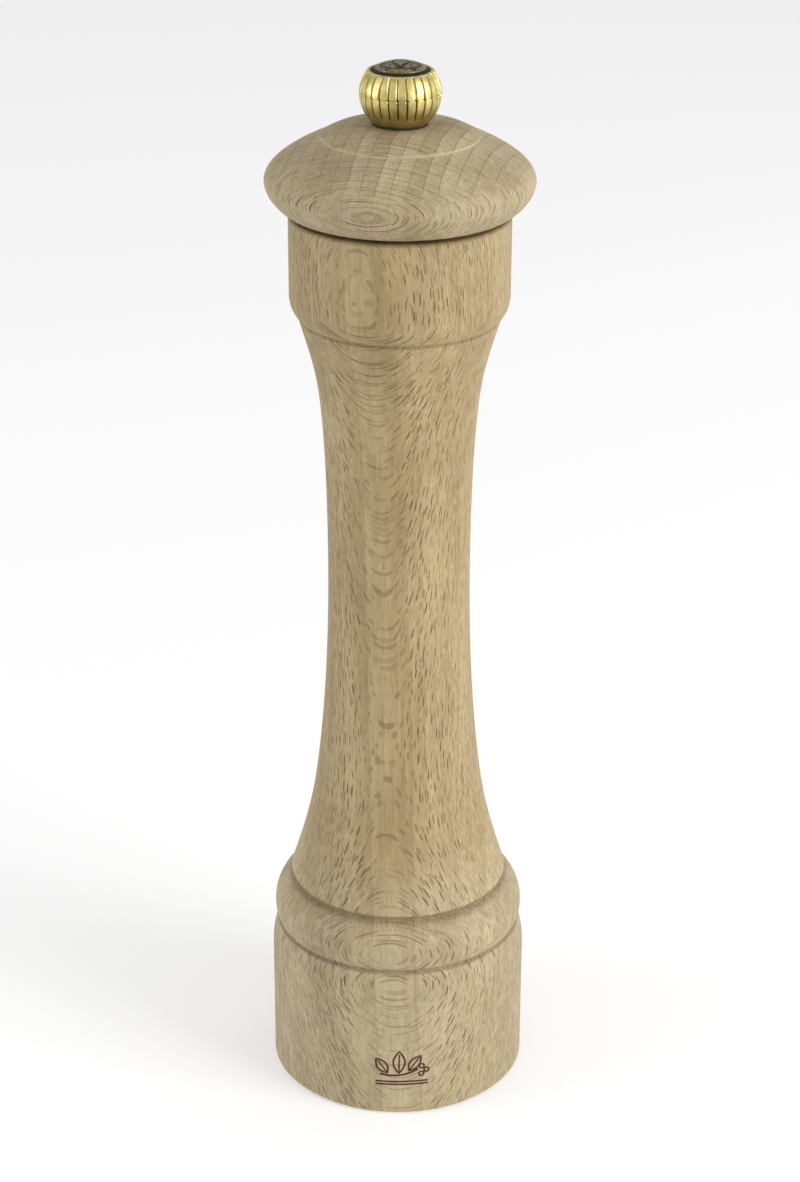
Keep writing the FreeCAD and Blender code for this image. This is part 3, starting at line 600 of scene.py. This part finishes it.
boss_edge = (BOSS_RADIUS - BOSS_STEP, BOSS_FOOT + BOSS_STEP)
boss_groove = (BOSS_RADIUS - 0.12, BOSS_FOOT - 0.10)
outline = [
    (HEAD_BORE, SPIGOT_END),
    (SPIGOT_RADIUS - 0.5, SPIGOT_END),
    (SPIGOT_RADIUS, SPIGOT_END + 0.5),
    (SPIGOT_RADIUS, HEAD_UNDERSIDE[1]),
]
outline += through([HEAD_UNDERSIDE] + HEAD_RIM + [(BOSS_RADIUS, BOSS_FOOT)], 60)
outline += [boss_groove]
outline += through([boss_edge, BOSS_MIDDLE, (BOSS_FLAT, BOSS_TOP)], 16)
outline += [(HEAD_BORE, BOSS_TOP)]
head_wood = beech("beech_head", 0.26, 0.0, (1.35, 2.2, 5.9), scribed=BOSS_RADIUS)
head = turned("mushroom_head", eased(outline, 0.1))
head.data.materials.append(head_wood)
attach(head, "head")
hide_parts("head_cap")

# ------------------------------------------------------------------ grind knob
# A ball of pale plated brass, with V-shaped flutes for grip and a fine parting line round its middle.
# Its shallow domed top holds a black ring and a darkened disc.
KNOB_FOOT = 209.4
KNOB_RADIUS, KNOB_WIDEST, KNOB_SHOULDER = 7.95, 215.2, 6.5
KNOB_RIM_Z, KNOB_CROWN = 219.498, 221.05
KNOB_RECESS, KNOB_FOOT_BORE = 218.6, 3.5
RING_OUTSIDE = 5.85
FLUTES, FLUTE_DEPTH, FLUTE_WIDTH = 27, 0.30, 0.46
FLUTE_LOW, FLUTE_HIGH, FLUTE_FADE = 210.7, 219.5, 0.35
FLUTE_STAGGER, FLUTES_OUTSIDE = 0.06, 4.4
SEAM_DEPTH, SEAM_WIDTH, SEAM_NICK = 0.05, 0.14, 0.28
NICK_WIDENS, NICK_DEEPENS = 0.6, 0.5
CROWN_FLATNESS = 2.4
INSERT_RADIUS, INSERT_BOTTOM, INSERT_TOP = 4.6, 210.4, 217.9


def crown(radius):
    """Height of the knob's top dome at a radius: flattest in the middle."""
    return KNOB_CROWN - (KNOB_CROWN - KNOB_RIM_Z) * (radius / RING_OUTSIDE) ** CROWN_FLATNESS


def geometry(name, sizes):
    """A geometry tree with one mesh in, one mesh out and named number inputs."""
    tree = bpy.data.node_groups.new(name, "GeometryNodeTree")
    tree.interface.new_socket("Geometry", in_out="INPUT", socket_type="NodeSocketGeometry")
    for size in sizes:
        tree.interface.new_socket(size, in_out="INPUT", socket_type="NodeSocketFloat")
    tree.interface.new_socket("Geometry", in_out="OUTPUT", socket_type="NodeSocketGeometry")
    work = Nodes(tree)
    start = tree.nodes.new("NodeGroupInput")
    inputs = {socket.name: Signal(work, socket) for socket in start.outputs if socket.name}
    return work, inputs


def finished(work, shape, finish):
    """Ends a geometry tree: instances made real, and the finish set."""
    real = work.add("GeometryNodeRealizeInstances", {}, {0: shape})
    coated = work.add("GeometryNodeSetMaterial", {}, {"Geometry": real, "Material": finish})
    end = work.tree.nodes.new("NodeGroupOutput")
    work.tree.links.new(coated.socket, end.inputs[0])
    return work.tree


def grown(piece, tree, sizes):
    """Runs a geometry tree on a piece with these sizes, and leaves its result as a plain mesh."""
    modifier = piece.modifiers.new("grow", "NODES")
    modifier.node_group = tree
    for item in tree.interface.items_tree:
        if item.in_out == "INPUT" and item.name in sizes:
            modifier[item.identifier] = float(sizes[item.name])
    piece.data.update()
    bpy.context.view_layer.update()
    made = piece.evaluated_get(bpy.context.evaluated_depsgraph_get())
    mesh = bpy.data.meshes.new_from_object(made)
    piece.modifiers.clear()
    piece.data = mesh


def fluting(finish):
    """V grooves that run up a turned piece, spaced evenly round it and fading out at both ends.

    Above the seam they are set over by a small share of their spacing, and near it they are nicked
    wider and deeper.
    """
    work, size = geometry("fluting", ["Count", "Depth", "Width", "Low", "High", "Fade", "Seam", "Nick"])
    position = work.add("GeometryNodeInputPosition")
    x, y, z = work.part(position, 0), work.part(position, 1), work.part(position, 2)
    radius = work.add("ShaderNodeMath", {"operation": "SQRT"}, {0: x * x + y * y})
    angle = work.add("ShaderNodeMath", {"operation": "ARCTAN2"}, {0: y, 1: x})
    above = work.add("ShaderNodeMath", {"operation": "GREATER_THAN"}, {0: z, 1: size["Seam"]})
    turn = angle * size["Count"] / (2 * math.pi) + above * FLUTE_STAGGER + 0.5
    away = work.add("ShaderNodeMath", {"operation": "FRACT"}, {0: turn}) - 0.5
    away = work.add("ShaderNodeMath", {"operation": "ABSOLUTE"}, {0: away})
    away = away * radius * (2 * math.pi) / size["Count"]
    off_seam = work.add("ShaderNodeMath", {"operation": "ABSOLUTE"}, {0: z - size["Seam"]})
    nick = work.band(off_seam, size["Nick"], 0.0)
    cut = 1 - away * 2 / (size["Width"] * (nick * NICK_WIDENS + 1))
    cut = work.add("ShaderNodeMath", {"operation": "MAXIMUM"}, {0: cut, 1: 0.0})
    ends = work.band(z, size["Low"], size["Low"] + size["Fade"] * 3)
    ends = ends * work.band(z, size["High"], size["High"] - size["Fade"])
    outer = work.add("ShaderNodeMath", {"operation": "GREATER_THAN"}, {0: radius, 1: FLUTES_OUTSIDE * MM})
    ends = ends * outer
    inward = cut * ends * size["Depth"] * (nick * NICK_DEEPENS + 1) * -1
    inward = inward / work.add("ShaderNodeMath", {"operation": "MAXIMUM"}, {0: radius, 1: 1e-6})
    offset = work.add("ShaderNodeCombineXYZ", {}, {0: x * inward, 1: y * inward, 2: 0.0})
    moved = work.add("GeometryNodeSetPosition", {}, {"Geometry": size["Geometry"], "Offset": offset})
    return finished(work, moved, finish)


brass = Finish("satin_brass")
patina = brass.grain(1.6, detail=4.0)
scuff = brass.grain((0.10, 0.10, 0.35), detail=3.0, rough=0.7)
brass_colour = brass.blend(brass.band(patina, 0.35, 0.68), (0.520, 0.425, 0.145, 1), (0.730, 0.630, 0.260, 1))
x, y, z = brass.part(brass.place, 0), brass.part(brass.place, 1), brass.part(brass.place, 2)
round_knob = brass.add("ShaderNodeMath", {"operation": "ARCTAN2"}, {0: y, 1: x})
above_seam = brass.add("ShaderNodeMath", {"operation": "GREATER_THAN"}, {0: z, 1: KNOB_WIDEST * MM})
flute = round_knob * (FLUTES / (2 * math.pi)) + above_seam * FLUTE_STAGGER + 0.5
flute = brass.add("ShaderNodeMath", {"operation": "FRACT"}, {0: flute}) - 0.5
flute = brass.add("ShaderNodeMath", {"operation": "ABSOLUTE"}, {0: flute})
# Painted shade: dark lines down the middle of each flute, stronger on the lower half.
painted_flute_shade = brass.band(flute, 0.13, 0.03) * brass.band(z, FLUTE_LOW * MM, (FLUTE_LOW + 1.2) * MM)
painted_flute_shade = painted_flute_shade * brass.band(z, (FLUTE_HIGH + 0.1) * MM, (FLUTE_HIGH - 0.2) * MM)
# Painted reflection: the lower half of the knob is made darker and browner, as the wooden head would show in
# it.
painted_lower_reflection = brass.band(z, (KNOB_WIDEST + 1.0) * MM, (KNOB_FOOT + 1.5) * MM)
brass_colour = brass.blend(painted_lower_reflection * 0.45, brass_colour, (0.300, 0.215, 0.060, 1))
brass_colour = brass.blend(painted_flute_shade * (painted_lower_reflection * 0.30 + 0.55), brass_colour, (0.050, 0.034, 0.010, 1))
brass_metal = brass.done(
    brass_colour, 0.30 + scuff * 0.22, metallic=1.0, bump=scuff * 0.6 + patina * 0.4, depth=0.00002
)

outline = [(KNOB_FOOT_BORE, KNOB_FOOT)]
outline += arc((0, KNOB_WIDEST), KNOB_RADIUS, KNOB_FOOT, KNOB_WIDEST - SEAM_WIDTH / 2, 34)
outline += [(KNOB_RADIUS - SEAM_DEPTH, KNOB_WIDEST)]
shoulder_centre = (KNOB_RADIUS - KNOB_SHOULDER, KNOB_WIDEST)
outline += arc(shoulder_centre, KNOB_SHOULDER, KNOB_WIDEST + SEAM_WIDTH / 2, KNOB_RIM_Z, 34)
outline += [
    (RING_OUTSIDE, KNOB_RIM_Z), (RING_OUTSIDE, KNOB_RECESS), (0.0, KNOB_RECESS), (0.0, INSERT_TOP),
    (INSERT_RADIUS, INSERT_TOP), (INSERT_RADIUS, INSERT_BOTTOM), (KNOB_FOOT_BORE, INSERT_BOTTOM),
]
knob = turned("knob_ball", eased(outline, 0.10), turns=FLUTES * 24)
grown(
    knob,
    fluting(brass_metal),
    {
        "Count": FLUTES, "Depth": FLUTE_DEPTH * MM, "Width": FLUTE_WIDTH * MM, "Low": FLUTE_LOW * MM,
        "High": FLUTE_HIGH * MM, "Fade": FLUTE_FADE * MM, "Seam": KNOB_WIDEST * MM, "Nick": SEAM_NICK * MM,
    },
)
knob.data.shade_smooth()
knob.data.set_sharp_from_angle(angle=math.radians(32))
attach(knob, "knob")
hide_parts("knob_shell")

# ------------------------------------------------------------------ knob ring
# A black enamelled ring let into the knob's top, which frames the disc and follows its dome. It
# lies in the recess with a hair's clearance at its outside and under it.
RING_INSIDE = 5.0
RING_CLEARANCE, RING_BELOW_DOME = 0.02, 0.04

enamel = Finish("black_enamel")
enamel_wear = enamel.grain(0.5, detail=3.0)
enamel_worn = enamel.band(enamel_wear, 0.4, 0.8)
enamel_colour = enamel.blend(enamel_worn, (0.010, 0.009, 0.008, 1), (0.028, 0.025, 0.022, 1))
enamel_black = enamel.done(
    enamel_colour, 0.50 + enamel_wear * 0.15, bump=enamel_wear, depth=0.00001, specular=0.18
)
outline = [
    (RING_INSIDE, KNOB_RECESS + RING_CLEARANCE),
    (RING_OUTSIDE - RING_CLEARANCE, KNOB_RECESS + RING_CLEARANCE),
    (RING_OUTSIDE - RING_CLEARANCE, crown(RING_OUTSIDE) - RING_BELOW_DOME),
    (RING_INSIDE, crown(RING_INSIDE) - RING_BELOW_DOME),
]
knob_ring = turned("knob_ring_black", eased(outline, 0.08), turns=128)
knob_ring.data.materials.append(enamel_black)
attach(knob_ring, "knob")
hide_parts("knob_ring")

# ------------------------------------------------------------------ knob disc
# A domed disc of darkened brass inside the ring, with a simple line drawing of three leaves and two
# peppercorns in black: a generic ornament.
BADGE_LINE = 0.27
BADGE_PROUD = 0.02
DISC_CLEARANCE = 0.03


def on_disc(u, v, rise):
    """Places drawing coordinates, in millimetres, on the disc's dome, upright from the front."""
    return (u * MM, v * MM, (crown(math.hypot(u, v)) + rise + BADGE_PROUD / 2) * MM)


antique = Finish("antique_brass")
tarnish = antique.grain(0.9, detail=4.0)
speck = antique.grain(0.12, detail=2.0)
tarnished = antique.band(tarnish, 0.34, 0.70)
antique_colour = antique.blend(tarnished, (0.170, 0.142, 0.064, 1), (0.310, 0.265, 0.130, 1))
antique_metal = antique.done(
    antique_colour, 0.45 + speck * 0.2, metallic=0.85, bump=tarnish * 0.6 + speck * 0.4, depth=0.00002
)
disc_radius = RING_INSIDE - DISC_CLEARANCE
outline = [(0.0, KNOB_RECESS + RING_CLEARANCE), (disc_radius, KNOB_RECESS + RING_CLEARANCE)]
outline += [(r, crown(r)) for r in np.linspace(disc_radius, 0.0, 22)]
disc = turned("knob_disc", eased(outline, 0.08), turns=128)
disc.data.materials.append(antique_metal)
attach(disc, "knob")
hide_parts("knob_badge")

lines = []
for lean, length, width in ((0.0, 6.8, 3.0), (-0.85, 5.2, 2.3), (0.85, 5.2, 2.3)):
    lines += [(leaf(0, -3.6, length, width, lean), BADGE_LINE, True)]
    lines += [(vein(0, -3.6, length, lean, 0.08), BADGE_LINE * 0.7, False)]
lines += [(circle(side * 2.4, -3.3, 0.42, 14), BADGE_LINE, True) for side in (-1, 1)]
ornament = drawn("disc_ornament", lines, on_disc, BADGE_PROUD, enamel_black)
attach(ornament, "knob")

# ------------------------------------------------------------------ knob washer and insert
# A thin black nylon washer lets the knob turn on the wood, and a turned brass insert with two knurled
# bands carries the thread inside the knob.
nylon = Finish("black_nylon")
nylon_grain = nylon.grain(0.35, detail=3.0)
nylon_colour = nylon.blend(nylon_grain, (0.012, 0.010, 0.009, 1), (0.030, 0.026, 0.023, 1))
nylon_black = nylon.done(
    nylon_colour, 0.6 + nylon_grain * 0.15, bump=nylon_grain, depth=0.00002, specular=0.2
)


def coated(node, finish, slot):
    """Gives a piece kept from the CAD its finish; its slot is not used."""
    piece = nodes[node]
    piece.data.materials.clear()
    piece.data.materials.append(finish)


coated("knob_washer", nylon_black, "black_nylon")
KNURL_TEETH, KNURL_DEPTH, KNURL_WIDTH, KNURL_FADE, KNURL_NICK = 40, 0.22, 0.55, 0.5, 0.1
INSERT_BORE, INSERT_BORE_TOP, INSERT_WAIST = 2.45, 217.4, 4.2
INSERT_CLEARANCE = 0.03
BAND_START, BAND_END, WAIST_START = 0.3, 2.6, 2.7
bright = Finish("turned_brass")
lathe_lines = bright.grain((6, 6, 0.10), detail=2.0)
bright_colour = bright.blend(lathe_lines, (0.600, 0.440, 0.170, 1), (0.740, 0.570, 0.270, 1))
bright_brass = bright.done(
    bright_colour, 0.26 + lathe_lines * 0.15, metallic=1.0, bump=lathe_lines, depth=0.00001
)
insert_edge = INSERT_RADIUS - INSERT_CLEARANCE
low_band = np.linspace(INSERT_BOTTOM + BAND_START, INSERT_BOTTOM + BAND_END, 5)
high_band = np.linspace(INSERT_TOP - BAND_END, INSERT_TOP - BAND_START, 5)
outline = [(INSERT_BORE, INSERT_BOTTOM), (insert_edge, INSERT_BOTTOM)]
outline += [(insert_edge, z) for z in low_band]
outline += [(INSERT_WAIST, INSERT_BOTTOM + WAIST_START), (INSERT_WAIST, INSERT_TOP - WAIST_START)]
outline += [(insert_edge, z) for z in high_band]
outline += [(insert_edge, INSERT_TOP), (0.0, INSERT_TOP)]
outline += [(0.0, INSERT_BORE_TOP), (INSERT_BORE, INSERT_BORE_TOP)]
insert = turned("knob_insert_knurled", eased(outline, 0.1), turns=KNURL_TEETH * 6)
grown(
    insert,
    fluting(bright_brass),
    {
        "Count": KNURL_TEETH, "Depth": KNURL_DEPTH * MM, "Width": KNURL_WIDTH * MM, "Seam": 0.0,
        "Low": INSERT_BOTTOM * MM - MM, "High": INSERT_TOP * MM + MM, "Fade": KNURL_FADE * MM,
        "Nick": KNURL_NICK * MM,
    },
)
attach(insert, "knob")
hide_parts("knob_insert")

# ------------------------------------------------------------------ shaft
# A square bar of drawn aluminium with round ends; the top end is threaded for the knob. The drive
# plate's square hole turns it, and the nut at its foot keeps the grinding cone on.
drawn_bar = Finish("drawn_aluminium")
die_lines = drawn_bar.grain((0.14, 0.14, 12), detail=2.0)
bar_colour = drawn_bar.blend(die_lines, (0.560, 0.565, 0.575, 1), (0.720, 0.725, 0.735, 1))
aluminium = drawn_bar.done(bar_colour, 0.30 + die_lines * 0.18, metallic=1.0, bump=die_lines, depth=0.00001)
THREAD_PITCH, THREAD_DEPTH = 0.8, 0.42
THREAD_LOW, THREAD_HIGH = 203.0, 215.0
SHAFT_RADIUS, SHAFT_HALF_SIDE = 2.4, 2.5
SQUARE_LOW, SQUARE_HIGH = 34.0, 200.0
SHAFT_LOW, SHAFT_HIGH = 0.6, 215.4


def threading(finish):
    """A V thread cut into a turned bar: the depth follows the angle and the height."""
    work, size = geometry("threading", ["Pitch", "Depth", "Low", "High"])
    position = work.add("GeometryNodeInputPosition")
    x, y, z = work.part(position, 0), work.part(position, 1), work.part(position, 2)
    radius = work.add("ShaderNodeMath", {"operation": "SQRT"}, {0: x * x + y * y})
    angle = work.add("ShaderNodeMath", {"operation": "ARCTAN2"}, {0: y, 1: x})
    climb = work.add("ShaderNodeMath", {"operation": "FRACT"}, {0: z / size["Pitch"] - angle / (2 * math.pi)})
    wave = work.add("ShaderNodeMath", {"operation": "ABSOLUTE"}, {0: climb - 0.5}) * 2.0
    ends = work.band(z, size["Low"], size["Low"] + size["Pitch"])
    ends = ends * work.band(z, size["High"], size["High"] - size["Pitch"] * 0.5)
    outside = work.band(radius, SHAFT_RADIUS * 0.8 * MM, SHAFT_RADIUS * 0.9 * MM)
    inward = (1 - wave) * ends * outside * size["Depth"] * -1
    inward = inward / work.add("ShaderNodeMath", {"operation": "MAXIMUM"}, {0: radius, 1: 1e-6})
    offset = work.add("ShaderNodeCombineXYZ", {}, {0: x * inward, 1: y * inward, 2: 0.0})
    moved = work.add("GeometryNodeSetPosition", {}, {"Geometry": size["Geometry"], "Offset": offset})
    return finished(work, moved, finish)


outline = [(0.0, SHAFT_LOW), (SHAFT_RADIUS - 0.3, SHAFT_LOW), (SHAFT_RADIUS, SHAFT_LOW + 0.3)]
outline += [(SHAFT_RADIUS, z) for z in np.linspace(SQUARE_HIGH - 1, THREAD_LOW, 4)]
outline += [(SHAFT_RADIUS, z) for z in np.arange(THREAD_LOW + 0.08, SHAFT_HIGH - 0.4, 0.08)]
outline += [(SHAFT_RADIUS - 0.4, SHAFT_HIGH), (0.0, SHAFT_HIGH)]
rod = turned("shaft_rod", outline, turns=48)
square = bmesh.new()
square.from_mesh(rod.data)
corner = SHAFT_HALF_SIDE * MM
box = bmesh.ops.create_cube(square, size=1.0)["verts"]
for vertex in box:
    vertex.co.x *= 2 * corner
    vertex.co.y *= 2 * corner
    vertex.co.z = (SQUARE_LOW if vertex.co.z < 0 else SQUARE_HIGH) * MM
edges = [e for e in square.edges if e.verts[0] in box and e.verts[1] in box]
bmesh.ops.bevel(square, geom=edges, offset=0.25 * MM, segments=2, affect="EDGES")
square.to_mesh(rod.data)
square.free()
grown(
    rod,
    threading(aluminium),
    {
        "Pitch": THREAD_PITCH * MM, "Depth": THREAD_DEPTH * MM,
        "Low": THREAD_LOW * MM, "High": THREAD_HIGH * MM,
    },
)
rod.data.shade_smooth()
rod.data.set_sharp_from_angle(angle=math.radians(30))
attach(rod, "shaft_unit")
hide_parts("shaft")

# ------------------------------------------------------------------ spring
# A compression spring of round wire, with its end coils closed. It lies between the washer under the
# bush and the seat on the shaft, and pushes the cone down, to coarse.
COIL_RADIUS, WIRE_RADIUS = 4.55, 0.42
COIL_LOW, COIL_HIGH, COIL_TURNS = 17.2, 24.3, 5.5


def coiling(finish):
    """Round wire swept along a coil whose first and last turns lie closed."""
    work, size = geometry("coiling", ["Radius", "Wire", "Low", "High", "Turns"])
    path = work.add("GeometryNodeCurvePrimitiveLine", {}, {"Start": (0, 0, 0), "End": (0, 0, 1)})
    path = work.add("GeometryNodeResampleCurve", {}, {"Curve": path, "Count": 300})
    share = work.add("GeometryNodeSplineParameter", output=0)
    angle = share * size["Turns"] * (2 * math.pi)
    x = work.add("ShaderNodeMath", {"operation": "COSINE"}, {0: angle}) * size["Radius"]
    y = work.add("ShaderNodeMath", {"operation": "SINE"}, {0: angle}) * size["Radius"]
    climb = work.add(
        "ShaderNodeMapRange",
        {"interpolation_type": "LINEAR"},
        {"Value": share, "From Min": 0.10, "From Max": 0.90, "To Min": 0.0, "To Max": 1.0},
    )
    low = size["Low"] + size["Wire"] * (share * 2.0 + 1.0)
    z = low + climb * (size["High"] - size["Low"] - size["Wire"] * 4.0)
    place = work.add("ShaderNodeCombineXYZ", {}, {0: x, 1: y, 2: z})
    coil = work.add("GeometryNodeSetPosition", {}, {"Geometry": path, "Position": place})
    round_wire = work.add(
        "GeometryNodeCurvePrimitiveCircle", {}, {"Resolution": 12, "Radius": size["Wire"]}
    )
    wire = work.add(
        "GeometryNodeCurveToMesh", {}, {"Curve": coil, "Profile Curve": round_wire, "Fill Caps": True}
    )
    return finished(work, wire, finish)


spring_steel = Finish("spring_steel")
wire_grain = spring_steel.grain(0.3, detail=3.0)
spring_colour = spring_steel.blend(wire_grain, (0.300, 0.305, 0.315, 1), (0.460, 0.465, 0.480, 1))
spring_metal = spring_steel.done(spring_colour, 0.28 + wire_grain * 0.2, metallic=1.0)
coil = bpy.data.objects.new("coil_spring", bpy.data.meshes.new("coil_spring"))
bpy.context.scene.collection.objects.link(coil)
grown(
    coil,
    coiling(spring_metal),
    {
        "Radius": COIL_RADIUS * MM, "Wire": WIRE_RADIUS * MM, "Low": COIL_LOW * MM, "High": COIL_HIGH * MM,
        "Turns": COIL_TURNS,
    },
)
coil.data.shade_smooth()
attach(coil, "rotor")
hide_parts("spring")
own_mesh(coil)

# ------------------------------------------------------------------ grinding mechanism
# The burrs are hardened steel with machined spiral teeth, darker than the pressed and plated parts
# that hold them.
hard = Finish("hardened_steel")
cutter_marks = hard.grain((0.5, 0.5, 0.12), detail=3.0)
temper = hard.grain(5.0, detail=2.0)
hard_colour = hard.blend(temper, (0.200, 0.195, 0.190, 1), (0.330, 0.325, 0.320, 1))
hard_steel = hard.done(
    hard_colour, 0.34 + cutter_marks * 0.22, metallic=1.0, bump=cutter_marks, depth=0.00003
)
plated = Finish("plated_steel")
spangle = plated.grain(1.4, detail=3.0)
plated_colour = plated.blend(spangle, (0.500, 0.505, 0.500, 1), (0.680, 0.680, 0.665, 1))
plated_steel = plated.done(plated_colour, 0.30 + spangle * 0.16, metallic=1.0, bump=spangle, depth=0.00001)
passivated = Finish("screw_steel")
thread_marks = passivated.grain(0.4, detail=3.0)
screw_colour = passivated.blend(thread_marks, (0.330, 0.290, 0.190, 1), (0.480, 0.430, 0.300, 1))
screw_steel = passivated.done(screw_colour, 0.34 + thread_marks * 0.15, metallic=1.0)
coated("burr_ring", hard_steel, "hardened_steel")
coated("burr_cone", hard_steel, "hardened_steel")
coated("bridge", plated_steel, "plated_steel")
coated("bridge_rivets", plated_steel, "plated_steel")
coated("shaft_bush", bright_brass, "bush_brass")
coated("thrust_washer", plated_steel, "plated_steel")
coated("spring_seat", plated_steel, "plated_steel")
coated("burr_washer", plated_steel, "plated_steel")
coated("burr_nut", plated_steel, "plated_steel")
coated("retaining_plate", plated_steel, "plated_steel")
coated("retaining_screws", screw_steel, "screw_steel")
coated("drive_plate", plated_steel, "plated_steel")
coated("drive_plate_screws", screw_steel, "screw_steel")

# ------------------------------------------------------------------ floor and light
# A white, softly glowing table under even light, a larger soft light on the right, and a dark card on
# the table in front, which the brass shows as a darker patch.
def board(name, width, depth, colour, glow=0.0):
    """A thin board for the studio, not part of the mill."""
    mesh = bpy.data.meshes.new(name)
    w, d = width / 2, depth / 2
    mesh.from_pydata([(-w, -d, 0), (w, -d, 0), (w, d, 0), (-w, d, 0)], [], [(0, 1, 2, 3)])
    piece = bpy.data.objects.new(name, mesh)
    bpy.context.scene.collection.objects.link(piece)
    finish = Finish(name)
    mesh.materials.append(finish.done(colour, 0.9, specular=0.2, glow=glow))
    return piece


def softbox(name, place, aim, size, power):
    """A square area light that faces a point."""
    data = bpy.data.lights.new(name, "AREA")
    data.shape = "SQUARE"
    data.size = size
    data.energy = power
    lamp = bpy.data.objects.new(name, data)
    bpy.context.scene.collection.objects.link(lamp)
    lamp.location = place
    away = np.array(aim, float) - np.array(place, float)
    lamp.rotation_mode = "XYZ"
    tilt = math.atan2(math.hypot(away[0], away[1]), -away[2])
    heading = math.atan2(-away[0], away[1])
    lamp.rotation_euler = (tilt, 0, heading)


FLOOR_DROP = 0.0002
SKY_STRENGTH = 0.71
MILL_MIDDLE = (0, 0, 0.10)
MILL_NECK = (0, 0, 0.14)
floor = board("floor", width=1.6, depth=1.9, colour=(0.62, 0.62, 0.62, 1), glow=0.37)
floor.location = (0, 0.55, -FLOOR_DROP)
dark_card = board("dark_card", width=0.20, depth=0.40, colour=(0.03, 0.03, 0.03, 1))
dark_card.location = (0, -0.42, 0.001)

softbox("key", place=(0.80, -0.46, 0.42), aim=MILL_MIDDLE, size=0.55, power=7.6)
softbox("rim_right", place=(0.65, 0.55, 0.20), aim=MILL_MIDDLE, size=0.45, power=0.5)
softbox("fill_left", place=(-0.9, -0.2, 0.36), aim=MILL_NECK, size=0.5, power=2.9)

world = bpy.data.worlds.new("studio")
world.use_nodes = True
sky = world.node_tree.nodes.get("Background") or world.node_tree.nodes.new("ShaderNodeBackground")
sky.inputs["Color"].default_value = (1.0, 1.0, 1.0, 1)
sky.inputs["Strength"].default_value = SKY_STRENGTH
end = world.node_tree.nodes.get("World Output") or world.node_tree.nodes.new("ShaderNodeOutputWorld")
world.node_tree.links.new(sky.outputs[0], end.inputs[0])
bpy.context.scene.world = world
